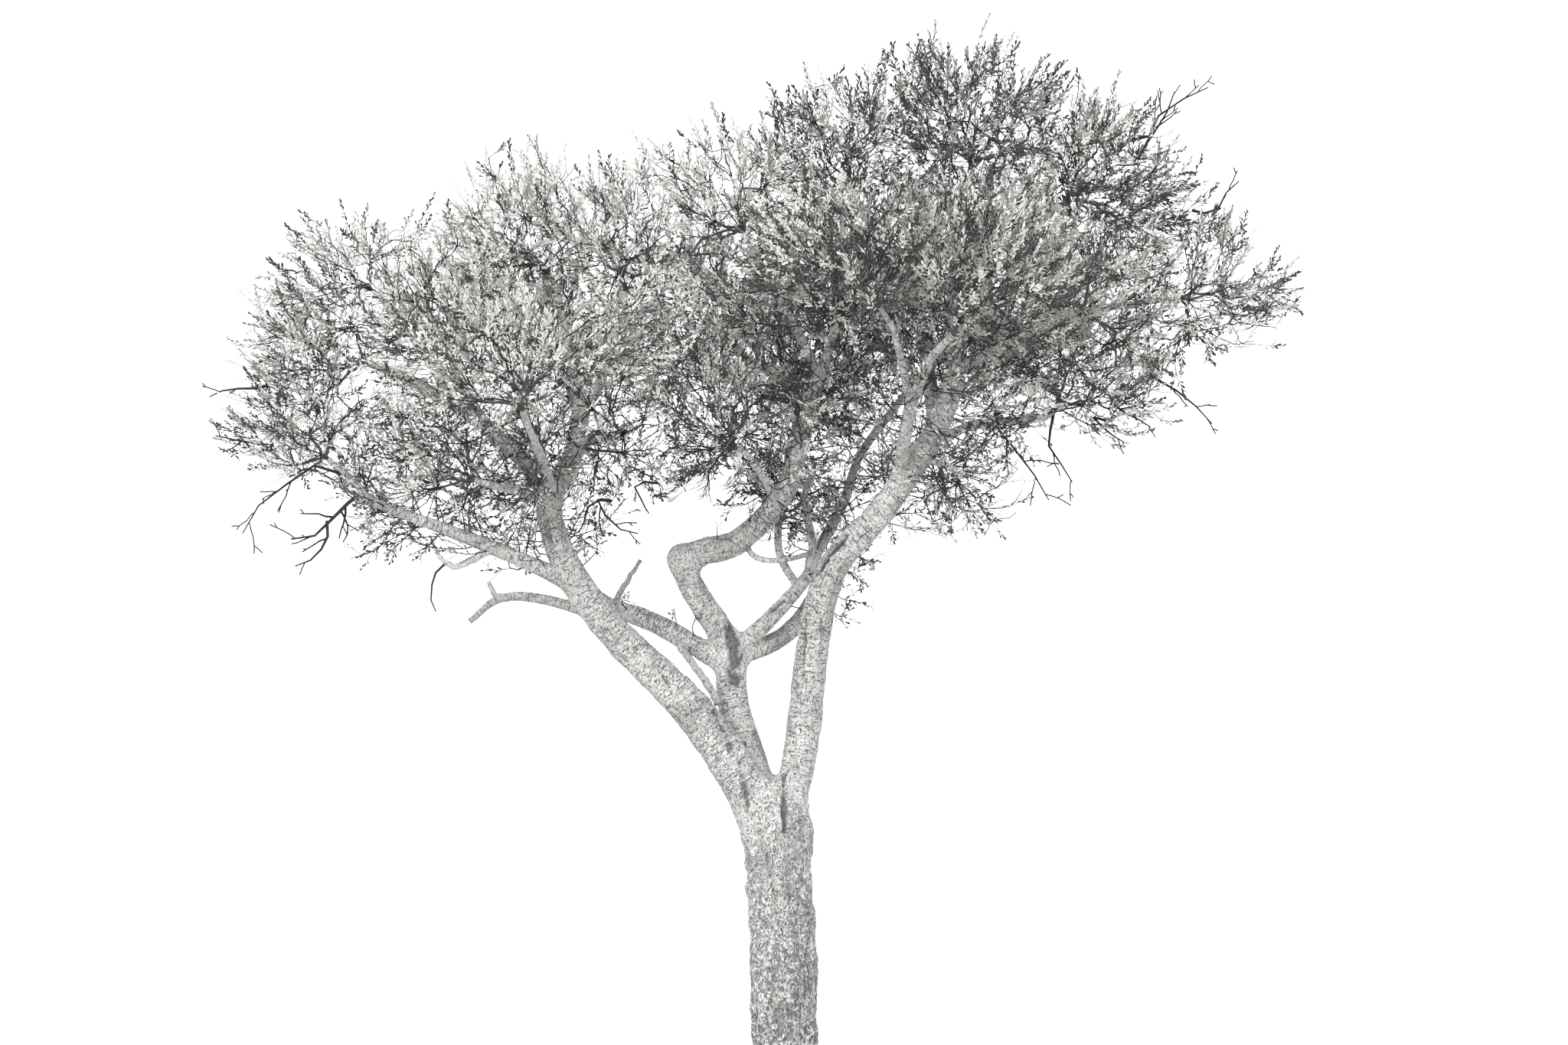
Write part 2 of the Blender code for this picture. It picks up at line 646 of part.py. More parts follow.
# ---------------------------------------------------------------- sprays
class Spray:
    """One spray of leaves: a thin lance with its root at a twig."""

    def __init__(self, root, direction, size, roll):
        self.root = root
        self.direction = direction
        self.size = size
        side = direction.cross(Vector((0, 0, 1)))
        if side.length < 0.2:
            side = direction.cross(Vector((1, 0, 0)))
        self.side = Matrix.Rotation(roll, 3, direction) @ side.normalized()
        self.tip = self.place(1.0, 0.0)

    def place(self, share, across):
        """A point on the blade: a share of its length, and -1 to 1 across it."""
        rising = share / SPRAY_SHOULDER
        falling = (1 - share) / (1 - SPRAY_SHOULDER)
        half = min(rising, falling) * SPRAY_WIDTH * self.size / 2
        length = share * SPRAY_LENGTH * self.size
        return self.root + self.direction * length + self.side * half * across

    def samples(self):
        return [self.place(k / 10, s / 2) for k in range(11) for s in range(-2, 3)]

    def spine(self):
        return [self.place(k / 8, 0.0) for k in range(3, 9)]

    def within(self, space, reach):
        """Whether its corners are inside the space's walls and not too far out."""
        corners = [self.tip, self.place(SPRAY_SHOULDER, 1), self.place(SPRAY_SHOULDER, -1)]
        return all(space.holds(corner) and space.depth(corner) < reach for corner in corners)

    def build(self, name, collection):
        """A closed lance of six faces: flat below, with a ridge along its upper side."""
        bm = bmesh.new()
        bmesh.ops.create_uvsphere(bm, u_segments=3, v_segments=2, radius=1.0)
        bmesh.ops.rotate(bm, verts=bm.verts, matrix=Matrix.Rotation(math.radians(90), 3, "Z"))
        wide = max(vert.co.x for vert in bm.verts) * 2
        thick = 1.5  # from the flat side of a unit triangle to its far corner
        for vert in bm.verts:
            share = (0.0, SPRAY_SHOULDER, 1.0)[round(vert.co.z) + 1]
            vert.co.x *= SPRAY_WIDTH * self.size / wide
            vert.co.y *= SPRAY_THICKNESS * self.size / thick
            vert.co.z = share * SPRAY_LENGTH * self.size
        axes = Matrix((self.side, self.direction.cross(self.side), self.direction))
        sunk_root = self.root - self.direction * SPRAY_SUNK
        bm.transform(Matrix.Translation(sunk_root) @ axes.transposed().to_4x4())
        return object_from(bm, name, collection)


def spots_on(twigs):
    """Where sprays may stand, as (twig, share of its length), the tips first."""
    grown = [twig for twig in twigs if twig.parent and twig.parent.parent]
    tips = [(twig, 1.0) for twig in grown if twig.tips == 1]
    outer = [(twig, share) for share in (0.7, 0.4) for twig in grown if twig.tips == 1]
    inner = [(twig, share) for share in (0.9, 0.5) for twig in grown if twig.tips > 1]
    return tips + outer + inner


def add_sprays(sprays, twigs, space, is_clear, rng):
    """Adds seeded sprays to those given, up to the number that a mass has."""
    for twig, share in spots_on(twigs):
        if len(sprays) >= SPRAYS_PER_MASS:
            break
        root = twig.parent.point.lerp(twig.point, share)
        turn = TIP_SPRAY_TURN if share == 1.0 else SIDE_SPRAY_TURN
        for _ in range(TRIES):
            outward = (root - space.centre).normalized() * SPRAY_SPLAY
            lift = Vector((0, 0, SPRAY_LIFT))
            aim = twig.heading + outward + lift + random_way(rng) * turn
            size = rng.uniform(*SPRAY_SIZES) * space.grain
            spray = Spray(root, aim.normalized(), size, rng.uniform(0, math.pi))
            crowded = any(
                (a - b).length < SPRAY_SPACING * space.grain
                for other in sprays
                for a in spray.spine()
                for b in other.spine()
            )
            fits = spray.within(space, SPRAY_REACH) and is_clear(spray.samples())
            if fits and not crowded:
                sprays.append(spray)
                break


# ---------------------------------------------------------------- masses
def stem_line(name, space):
    """A mass's stem: straight on from its bough's tip, then on into its space."""
    points, radii = limb_line(MASSES[name].carrier)
    heading = (points[-1] - points[-2]).normalized()
    root = points[-1] + heading * SEAT_GAP
    straight = root + heading * STEM_LENGTH
    share = HUB_SHARE
    while not space.holds(straight.lerp(space.centre, share), HUB_CLEARANCE):
        share += 0.05
    hub = straight.lerp(space.centre, share)
    return [root, straight, hub], [radii[-1] * taper for taper in STEM_TAPER]


def fuse(base, collection):
    """Joins a collection's solids to the base by one Boolean union, and removes them."""
    union = base.modifiers.new("fuse", "BOOLEAN")
    union.operation = "UNION"
    union.operand_type = "COLLECTION"
    union.collection = collection
    apply_modifiers(base)
    for obj in list(collection.objects):
        bpy.data.objects.remove(obj)


def build_mass(name, seed, space, stem, wood, profile, parts, loose):
    """One mass: its stem, twigs and sprays, fused into one solid."""
    rng = random.Random(seed)
    points, radii = stem
    root = Twig(points[0], heading=(points[1] - points[0]).normalized())
    straight = Twig(points[1], root)
    hub = Twig(points[2], straight)

    def is_clear(samples):
        return wood.clears(samples, name)

    def twig_is_clear(samples):
        return all(space.holds(point, TWIG_CLEARANCE) for point in samples) and is_clear(samples)

    leaders = []
    for far_tip in map(Vector, MASSES[name].far_tips):
        outward = (far_tip - hub.point).normalized()
        leader = Spray(far_tip - outward * SPRAY_LENGTH, outward, 1.0, rng.uniform(0, math.pi))
        if leader.within(space, FAR_TIP_REACH) and is_clear(leader.samples()):
            leaders.append(leader)
    targets = scatter(space, [leader.root for leader in leaders], rng)
    twigs = grow([hub], targets, twig_is_clear)
    reached = {tuple(twig.point) for twig in twigs}
    sprays = [leader for leader in leaders if tuple(leader.root) in reached]
    add_sprays(sprays, twigs, space, is_clear, rng)

    mass = tube(name, points, radii, parts, profile=profile)
    for k, twig in enumerate(twigs[1:]):
        wide = min(twig_radius(twig.tips), radii[-1] * 0.95)
        line = [twig.parent.point - twig.heading * JOINT_OVERLAP, twig.point]
        tube(f"{name}_twig_{k}", line, [wide, wide * TWIG_TAPER], loose, profile=profile)
    for k, spray in enumerate(sprays):
        spray.build(f"{name}_spray_{k}", loose)
    fuse(mass, loose)
    keep_piece_at(mass, points[0])
    return mass


def main():
    clear_scene()
    parts = new_collection("acacia_tree")
    cutters = new_collection("cutters")
    loose = new_collection("loose_twigs_and_sprays")
    guides = new_collection("guides")
    bark = plain_material("bark", BARK_COLOUR, 0.9)
    dead_wood = plain_material("dead_wood", DEAD_COLOUR, 0.85)
    leaf = plain_material("leaf", LEAF_COLOUR, 0.6)

    for name, limb in build_limbs(parts, cutters).items():
        dress(limb, dead_wood if name == "dead_limb" else bark)

    spaces = make_spaces()
    stems = {name: stem_line(name, spaces[name]) for name in MASSES}
    wood = Wood()
    for name in LIMBS:
        wood.add(name, *limb_line(name))
    for name, stem in stems.items():
        wood.add(name, *stem)
    wood.settle()
    profile = three_sided_profile(guides)
    for seed, name in enumerate(MASSES, start=100):
        mass = build_mass(
            name, seed, spaces[name], stems[name], wood, profile, parts, loose
        )
        dress(mass, leaf)


main()
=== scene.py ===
"""The looks of a whole acacia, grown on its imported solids: bark, twigs and leaves.

Units are metres with +Z up. The origin is the centre of the flat cut under the trunk, +X runs
to the right across the crown's broad side and +Y runs away behind it. The trunk and the boughs
are one surface, by a rule that melts each limb into what carries it and raises the bark. Each
mass of foliage grows on from its bough by the solids' own rule, carried to finer twigs: seeded
ends are joined to the twig that costs least, and leafy shoots stand along the outer ones.
"""

from __future__ import annotations

import itertools
import logging
import math
from dataclasses import astuple, dataclass, field
from enum import Enum
from typing import NamedTuple

import bpy
import numpy as np
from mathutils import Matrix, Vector

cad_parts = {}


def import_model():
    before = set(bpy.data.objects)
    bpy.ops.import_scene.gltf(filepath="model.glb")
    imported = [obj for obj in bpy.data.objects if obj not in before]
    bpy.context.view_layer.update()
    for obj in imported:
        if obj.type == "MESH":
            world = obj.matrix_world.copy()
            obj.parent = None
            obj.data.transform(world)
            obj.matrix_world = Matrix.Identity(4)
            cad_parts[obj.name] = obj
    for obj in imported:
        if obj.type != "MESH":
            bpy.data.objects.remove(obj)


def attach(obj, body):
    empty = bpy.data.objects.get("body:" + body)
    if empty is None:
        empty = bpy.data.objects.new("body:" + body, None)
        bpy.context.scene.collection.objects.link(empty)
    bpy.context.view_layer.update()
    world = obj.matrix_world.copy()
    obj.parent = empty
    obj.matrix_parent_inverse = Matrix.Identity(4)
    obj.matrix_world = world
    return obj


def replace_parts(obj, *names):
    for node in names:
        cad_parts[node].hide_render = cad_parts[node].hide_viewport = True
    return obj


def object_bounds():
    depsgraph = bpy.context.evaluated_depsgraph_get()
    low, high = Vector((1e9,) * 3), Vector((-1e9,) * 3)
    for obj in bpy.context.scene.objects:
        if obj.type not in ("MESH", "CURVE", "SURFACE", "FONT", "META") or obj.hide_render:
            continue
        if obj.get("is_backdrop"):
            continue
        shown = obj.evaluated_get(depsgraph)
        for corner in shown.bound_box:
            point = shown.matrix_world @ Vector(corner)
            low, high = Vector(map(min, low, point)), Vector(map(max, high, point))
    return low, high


LOG = logging.getLogger("acacia")
BODY = "root"
UP = np.array([0.0, 0.0, 1.0])
ACROSS = np.array([1.0, 0.0, 0.0])

Array = np.ndarray
Rng = np.random.Generator
Material = bpy.types.Material
Mesh = bpy.types.Mesh
Object = bpy.types.Object
Socket = bpy.types.NodeSocket
Pair = tuple[float, float]
Triple = tuple[float, float, float]
Colour = tuple[float, float, float]


# ---- the tree's plan
class TrunkRing(NamedTuple):
    """One outline of the trunk: an oval, waved by the buttresses of the roots."""

    height: float
    centre_x: float
    half_x: float
    half_y: float
    lobe: float


class Limb(NamedTuple):
    """One tapering limb."""

    carrier: str
    share: float  # where it starts, along the limb that carries it
    course: list[Triple]  # what it passes through after its start
    root: float  # radius
    tip: float  # radius
    lateness: float = 1.0  # 1 thins evenly, and 2 stays thick until past the middle


class Mass(NamedTuple):
    """One mass of foliage."""

    carrier: str  # the limb whose tip its stem grows on from
    centre: Triple
    half_widths: Triple
    far_tips: tuple[Triple, ...] = ()  # ends of leafy shoots that stand out of it
    bare_twigs: tuple[tuple[Triple, ...], ...] = ()  # courses of bare twigs that stand out of it
    leafiness: float = 1.0  # under 1 it shows more bare twigs
    gloom: float = 0.4  # how much of its leaf is dealt the painted-shade colour
    crest: float = 0.0  # how open its top is


class State(Enum):
    """Whether a stick is alive or dead."""

    LIVE = 0
    DEAD = 1


class SprayRow(NamedTuple):
    """A row of leafy sprays that grow straight out of a limb's bark."""

    limb: str
    first: float  # the shares of the limb's length where the row begins and ends
    last: float
    count: int
    lengths: Pair
    lean: Triple  # which way they lean as they leave the bark
    leafy: float = 0.6  # the share of their prongs that carry leaves


# ---- sizes shared with the solids
RING_STEP = 0.31
ROOT_LOBES = 5
LOBE_TURN = 0.6
FORK_START = (-0.065, 0.0, 3.55)  # where the fork's limbs start, inside the trunk
STEM_LENGTH = 0.1  # straight start of each mass's stem
HUB_SHARE = 0.3  # how far in the stem ends, towards the middle of its space
HUB_CLEARANCE = 0.05
STEM_ENDS = (0.92, 0.78)  # its last radii, as shares of its bough's tip
HUB_STEP = 0.05  # how much further in it is tried, until it clears the walls
PATH_PULL = 0.45  # how much a short way back to the stem counts against a near neighbour

# ---- the wood's surface
LINE_STEP = 0.05
SPLINE_STEPS = 12  # points found on a smooth line between two knots
STEEP = 0.8  # a line more upright than this takes its sides from ACROSS, and not from UP
FAR = 9.0  # further than any piece of the tree is from another
VOXEL = 0.0105
TRUNK_RADIUS = 0.24
MELT_SHARE = 0.6  # how softly a limb grows out of its carrier, as a share of its radius
MELT_LIMITS = (0.012, 0.1)
NEAR = 0.06  # how far outside a limb its bark is worked out
LONGEST_MOVE = 0.03
MOVES = 5  # steps that bring the plain tubes to the rule's surface
SIDES_OF_CORE = 14
TRUNK_ROWS = 90
TRUNK_SIDES = 48
TOP_GAP = 0.002  # how far under its round top the trunk's last row lies
FACES_DOWN = -0.5  # the way out of the cut foot is lower than this
LIMB_AGE = 0.62  # how rough a limb as thick as the trunk would be, the trunk's foot being 1
YOUNGEST = 0.05
OLD_TOP = 0.5  # how rough the trunk is at the fork
FLAT_FOOT = 0.06  # the height under which the bark's relief fades to the flat cut
FORK_FILL = (3.55, 0.46)  # where the round top between the fork's limbs starts, and its height
PLATE_WIDTHS = (0.04, 0.062)
PLATE_STRETCH = 1.4
PLATE_DEPTH = 0.013
PLATE_SUNK = 0.8  # the share of its depth that is cut in
PLATE_EDGE = (0.02, 0.35)  # from a groove's middle, where a plate starts and is full
WARP_SIZE = 0.05
WARP = 0.016
PIT_SIZE = 0.03
PIT_DEPTH = 0.011
PIT_RAISED = 0.2  # the share of its depth that stands up round it
PIT_EDGE = (0.12, 0.5)
PATCHES = (0.16, 0.16, 0.34)
PATCHINESS = 0.4  # how much the plates' relief varies from patch to patch
CRACKS = (0.085, 0.085, 0.6)
CRACK_DEPTH = 0.012
CRACK_EDGE = (0.9, 0.99)
CRACKED_PATCH = (0.0, 0.2)
# How dark the painted shade of the bark's grooves and cracks is, and its base share on the trunk, where
# it grows with age
GROOVE_SHADE = 0.6
CRACK_SHADE = 0.8
TRUNK_SHADE = 0.6
FLUTES = (0.15, 0.15, 1.2)
FLUTE_SHARE = 0.085
GRAIN_APART = np.array([3.7, 5.3, 1.9])  # parts one limb's grain from the next one's
LUMP = 0.085
LUMP_SHARE = 0.05
FORK_WIDENING = 0.6  # how much deeper the fork grows before and behind, up its round top
TRUNK_RELIEF = 1.25
HOLLOW_DEPTH = 0.022
HOLLOW_NEAR = 0.3
HOLLOW_FAR_SIDE = 0.13
HOLLOW_EDGE = 0.45
HOLLOW_RAGS = ((0.55, 0.07), (0.35, 0.025))  # how much its edge wavers, and over what length
HOLLOW_VIEW = (1.0, 0.12, 1.0)  # a split runs straight in, so its depth counts little
TRUNK_FLARE = 0.48  # reach of the root flare from the trunk's middle
BARK_SEED = 40

# ---- twigs, shoots and leaves
TIPS_PER_METRE = 330  # ends of twigs for each cubic metre of a mass
TIP_SPACING = 0.11
TIP_CLEARANCE = 0.03
WAY_TESTS = np.linspace(0.1, 1, 8)  # where along a new twig its way is tested
TWIG_DEPTHS = (0.28, 1.8)  # how far out twigs end, 1 being the surface of the mass's round body
SOFTNESS = 1.1  # how sharply a mass's fullness ends
LOBES = 0.22
LOBE_SIZE = 0.42
FULLNESS_OF_TWIGS = (0.34, 0.8)  # where twigs start to end, and where they end freely
FULLNESS_OF_SHOOTS = (0.16, 0.52)
CREST_START = 0.15  # how far under a mass's middle its top starts to open
WALL_OVERLAP = 0.07
# Painted light and shade of the leaves: more painted shade deep inside the crown and at its outermost
# tips, a little less high in a mass, spread at random from shoot to shoot
PAINTED_SHADE_INSIDE = 0.38
PAINTED_LIGHT_ABOVE = 0.04
PAINTED_SHADE_OUTSIDE = 0.78
PAINTED_SHADE_SPREAD = 0.42
PAINTED_SHADE_HEART = (1.0, 1.8)  # the fullness where the painted shade of the crown's inside starts, and is full
PAINTED_SHADE_EDGE = (0.5, 0.2)
LEAST_TURN = 0.3  # cosine of the widest angle between a twig and its parent
SHORTEST_TWIG = 0.05
CANDIDATES = 10
TWIG_RADIUS = 0.0042
PIPE_POWER = 0.44  # how fast a twig thickens with the tips that it feeds
TWIG_TAPER = 0.72
TWIG_WANDER = 0.035
TWIG_BEND = 0.36
TWIG_SIDES = 6
SHOOT_SIDES = 3
TWIG_KNOTS = 5
THICK_TWIG = 0.009  # thicker ones have more sides and a bough's bark
WOOD_GRAIN = 0.03  # the size of a cell of the wood's map
WOOD_CLEARANCE = 0.012
MAP_MARGIN = 0.3

TIP_SHOOTS = 3
SIDE_SHOOT_STEP = 0.075
SIDE_SHOOT_START = 0.15  # along its twig
SIDE_STRAY = 1.0  # how far its way may turn from its twig's
TIP_STRAY = 0.42
SHOOT_LENGTHS = (0.13, 0.28)
TIP_SHOOT_LENGTHS = (0.18, 0.36)
SHOOT_RADIUS = 0.0026
SHOOT_KNOTS = 4
SHOOT_TAPER = 0.45
SHOOT_BOW = 0.055
SHOOT_CURL = 0.04
SHOOT_LIFT = 0.3
MASS_SPLAY = 0.25
CROWN_SPLAY = 0.28
CROWN_HEART = np.array([0.1, 0.0, 5.3])
LEADER_LENGTH = 0.42
LEADER_RADIUS = 1.3 * SHOOT_RADIUS
BARE_SHARE = 0.12  # the share of shoots with no leaf
BARE_BELOW = 0.25  # how many more are bare low in a mass, and deep inside the crown
BARE_INSIDE = 0.4
FULLNESS_INSIDE = (0.9, 1.7)
BARE_STARTS = (0.12, 0.4)
PALE_SHOOTS = 0.11  # the share of shoots that are dry and pale
LONGEST_LEADER = 1.1
BARE_TWIG_RADII = (0.0135, 0.0052)
BARE_PRONG_STEP = 0.13
SPRAY_RADII = (0.0062, 0.0024)
SPRAY_SPAN = 0.02  # the share of a limb that gives its way at a spray
SPRAY_SLANTS = (0.1, 0.7)  # how much they lean along the limb
SPRAY_STRAY = 0.25
SPRAY_LIFT = 0.15
SPRAY_CLEAR = 0.04
SPRAY_LIGHT_SHARES = (0.25, 0.45, 0.3)  # how many of a spray's stems carry leaves of painted light, half shade and deep shade
BRANCHLET_KNOTS = 5
BRANCHLET_WANDER = 0.018
TWIG_ROUTE_STEP = 0.02
PRONG_STEP = 0.085
PRONG_RADIUS = 0.0022
PRONG_ROOT = 0.7  # its radius at its foot, as a share of its stem's there
PRONG_PLACES = (0.3, 0.9)  # along its step
PRONG_SIZES = (0.6, 1.1)
PRONG_SHRINK = (1.3, 0.6)  # how long it is at the foot of its stem, and how much less at the tip
PRONG_STRAY = 0.5
PRONG_ARC = 0.06
STEM_BARE = 0.5  # the share of a leafy spray's stem with no leaf
SMALL_TILT = 0.01  # keeps an upright stem's sides from vanishing
PRONG_REACHES = (0.42, 0.36)  # a prong's length as a share of its stem's, then its own prongs'
PRONG_SPLAYS = (0.7, 1.25)
LONGEST_PRONG = 0.26
SHOOT_PROUD = 0.1  # how far shoots may end outside the solids' box
LEAFY_TIPS = 4  # the most tips that a twig with side shoots feeds
STICK_STEP = 0.03
STICK_WANDER = 0.003
STICK_KNOBS = (0.9, 1.1)
STICK_SIDES = 8

LEAF_STEPS = (0.0098, 0.0148)  # at the crown's edge, and elsewhere
EDGE_FULLNESS = (0.35, 0.75)
LEAF_LENGTHS = (0.033, 0.052)
LEAF_WIDTH = 0.38  # as a share of its length
LEAF_SHARES = (0.4, 0.76)  # where its outline's corners are, along its length
LEAF_HALVES = (0.62, 1.0)  # and how wide it is there
LEAF_FOLD = 0.3
LEAF_ANGLES = (0.65, 1.15)
LEAF_CLOSING = (1.35, 0.35)  # how they close up towards a shoot's tip
LEAF_STRAYS = (0.3, 0.45)  # round the shoot, and of the upper side
STEEP_LEAF = 0.9
GOLDEN_TURN = 2.39996  # between two leaves on a shoot

# ---- the bark's finish, where a pair says from what value a mark shows, and at what value it is full
STRAY_NOISE = {"Scale": 22.0, "Detail": 2.0}
PIT_STRETCH = (1, 1, 0.6)
PIT_WARP = (0.03, 0.03, 0.03)
PITS_FROM = (0.58, 0.675)
HOLE_SCALE = 0.45
HOLES_WITH_AGE = 0.05
HOLES_FROM = (0.58, 0.62)
HOLE_AGES = (0.2, 0.8)
OLD_AGES = (0.45, 1.0)
GRAIN_WARP = (0.0, 0.0, 0.035)
WRINKLE_SCALE = (14.0, 14.0, 85.0)
WRINKLES_FROM = (0.54, 0.66)
WRINKLE_AGES = (0.85, 0.45)
SEAM_SCALE = (16.0, 16.0, 2.2)
SEAMS_FROM = (0.03, 0.004)
PATCH_SCALE = 3.4
SEAM_PATCHES = (0.5, 0.62)
FADED_PATCHES = (0.35, 0.68)
FADED_SHARE = 0.62  # how far its patches and its old bark turn to the dull colour
WORN_SHARE = 0.75
FINE_SCALE = 150.0
FINE_FROM = (0.46, 0.7)
FINE_HEIGHT = 0.25
ROUGH_HEIGHT = -1.5
BUMP_DEPTH = 0.013
# Painted shade in the bark's colour: from the relief's grooves, cracks and pits, and full in the splits
CAVITY_SHADES = (0.56, 0.36)  # more on old bark, and on all bark
SPLIT_SHADE = 0.92
BARK_GLOSS = (0.9, 0.2)  # its roughness, and how strongly it shines


# ---- the plan, as in the solids
TRUNK = [TrunkRing(*row) for row in (
    (0.0, 0.0, 0.395, 0.375, 0.2),
    (0.07, 0.0, 0.345, 0.33, 0.16),
    (0.18, 0.0, 0.303, 0.293, 0.11),
    (0.38, -0.001, 0.268, 0.262, 0.065),
    (0.75, -0.003, 0.25, 0.246, 0.035),
    (1.4, -0.01, 0.243, 0.24, 0.02),
    (2.1, -0.021, 0.238, 0.236, 0.016),
    (2.7, -0.03, 0.243, 0.238, 0.014),
    (3.15, -0.046, 0.235, 0.231, 0.012),
    (3.45, -0.062, 0.236, 0.228, 0.008),
    (3.8, -0.084, 0.282, 0.222, 0.0),
    (3.88, -0.088, 0.262, 0.2, 0.0),
)]

LIMBS = {
    # The fork's three limbs
    "left_limb": Limb("trunk", 1.0, [(-0.6, -0.12, 4.39), (-1.34, -0.22, 5.16), (-1.67, -0.24, 5.85),
        (-1.47, 0.02, 6.49), (-1.62, 0.1, 7.37)], 0.165, 0.032, 1.2),
    "right_limb": Limb("trunk", 1.0, [(0.1, 0.0, 4.15), (0.19, -0.05, 4.9), (0.32, -0.12, 5.45),
        (0.7, -0.25, 5.91), (1.05, -0.3, 6.44), (1.21, -0.25, 6.95), (1.16, -0.1, 7.57),
        (1.28, 0.02, 8.13)], 0.126, 0.03, 2.0),
    "middle_stem": Limb("trunk", 1.0, [(-0.24, 0.12, 4.08), (-0.38, 0.15, 4.55), (-0.39, 0.15, 4.96)],
        0.125, 0.105),
    # The middle stem's winding limb, in two pieces that meet where it doubles back
    "sinuous_low": Limb("middle_stem", 0.91, [(-0.46, 0.11, 5.04), (-0.66, 0.03, 5.34),
        (-0.75, 0.0, 5.57)], 0.1, 0.088),
    "sinuous_high": Limb("sinuous_low", 0.95, [(-0.58, 0.0, 5.61), (-0.33, 0.0, 5.69), (-0.03, 0.0, 6.0),
        (0.11, 0.0, 6.4), (0.2, 0.0, 6.76), (0.29, 0.0, 7.02)], 0.098, 0.036, 1.2),
    # Boughs of the left limb
    "left_upper": Limb("left_limb", 0.64, [(-1.81, -0.15, 6.19), (-2.3, 0.0, 6.62), (-2.72, 0.1, 6.86)],
        0.07, 0.032),
    "left_low": Limb("left_limb", 0.5, [(-1.7, -0.34, 5.45), (-2.29, -0.54, 5.68), (-2.87, -0.62, 5.9),
        (-3.02, -0.62, 6.05)], 0.066, 0.028, 1.2),
    "left_inner": Limb("left_limb", 0.65, [(-1.84, -0.45, 5.98), (-2.02, -0.6, 6.01)], 0.045, 0.028),
    "left_front": Limb("left_limb", 0.66, [(-1.68, -0.75, 6.13), (-1.75, -1.15, 6.3)], 0.048, 0.028),
    "left_hem": Limb("left_limb", 0.77, [(-1.34, -0.2, 6.39), (-1.19, -0.35, 6.41)], 0.045, 0.027),
    "left_shoulder": Limb("left_limb", 0.81, [(-1.33, 0.0, 6.81), (-1.19, -0.1, 7.21)], 0.045, 0.027),
    "left_rise": Limb("left_upper", 0.53, [(-2.28, -0.3, 6.74), (-2.35, -0.45, 6.92)], 0.042, 0.026),
    "left_top": Limb("left_upper", 0.74, [(-2.56, 0.25, 7.01), (-2.84, 0.4, 7.39)], 0.04, 0.025),
    "dead_limb": Limb("left_limb", 0.46, [(-1.75, -0.33, 5.25), (-2.02, -0.38, 5.24),
        (-2.22, -0.4, 5.08)], 0.045, 0.02, 1.4),
    # Boughs of the right limb
    "crown_left": Limb("right_limb", 0.65, [(1.02, -0.08, 6.8), (0.92, 0.08, 7.34), (0.59, 0.1, 7.97)],
        0.06, 0.027),
    "right_front": Limb("right_limb", 0.56, [(0.82, -0.5, 6.3), (0.88, -0.82, 6.58), (0.98, -1.1, 6.8)],
        0.056, 0.032),
    "front_centre": Limb("right_front", 0.58, [(0.82, -1.0, 6.75), (0.76, -1.2, 6.96)], 0.034, 0.024),
    "right_hem": Limb("right_limb", 0.6, [(1.08, -0.45, 6.19), (1.17, -0.55, 6.14)], 0.032, 0.022),
    "right_mid": Limb("right_limb", 0.74, [(1.41, -0.32, 6.97), (1.87, -0.32, 7.16)], 0.05, 0.028),
    "right_tip": Limb("right_mid", 0.7, [(1.94, -0.15, 7.25), (2.28, 0.0, 7.35), (2.57, 0.05, 7.4)],
        0.036, 0.022),
    "right_centre": Limb("right_limb", 0.77, [(1.29, -0.45, 7.15), (1.36, -0.6, 7.28)], 0.04, 0.027),
    "right_top": Limb("right_limb", 0.8, [(1.4, -0.1, 7.47), (1.82, 0.1, 7.97)], 0.045, 0.026),
    # Boughs of the middle stem and of its winding limb
    "left_back": Limb("middle_stem", 0.89, [(-0.91, 0.14, 5.1), (-1.35, 0.32, 5.29), (-1.53, 0.62, 5.55),
        (-1.83, 1.35, 6.42)], 0.078, 0.03, 1.4),
    "right_low": Limb("middle_stem", 0.93, [(0.02, 0.27, 5.06), (0.36, 0.54, 5.56), (0.72, 0.7, 6.04),
        (1.22, 0.82, 6.55), (1.77, 0.85, 6.65)], 0.07, 0.028, 1.2),
    "broken_stem": Limb("middle_stem", 0.95, [(-0.06, 0.12, 5.2), (0.19, 0.25, 5.55), (0.13, 0.28, 5.99),
        (0.18, 0.26, 6.2)], 0.062, 0.016, 1.5),
    "back_right": Limb("broken_stem", 0.58, [(0.41, 0.85, 6.03), (0.55, 1.2, 6.44), (0.88, 1.5, 6.91)],
        0.046, 0.028),
    "back_centre": Limb("broken_stem", 0.44, [(-0.05, 0.17, 5.62), (-0.03, 0.4, 5.98),
        (0.14, 1.0, 6.49)], 0.032, 0.024),
    "centre_low": Limb("sinuous_high", 0.41, [(-0.13, -0.2, 6.07), (-0.23, -0.35, 6.2)], 0.036, 0.025),
    "centre_mid": Limb("sinuous_high", 0.47, [(0.04, 0.22, 6.38), (0.09, 0.38, 6.76),
        (-0.18, 0.45, 6.98)], 0.045, 0.027),
    "centre_top": Limb("sinuous_high", 0.91, [(0.1, -0.2, 7.12), (-0.19, -0.3, 7.64)], 0.036, 0.025),
    "link_branch": Limb("sinuous_high", 0.24, [(-0.23, 0.04, 5.58), (-0.05, 0.05, 5.55),
        (0.19, 0.25, 5.62)], 0.022, 0.018),
}
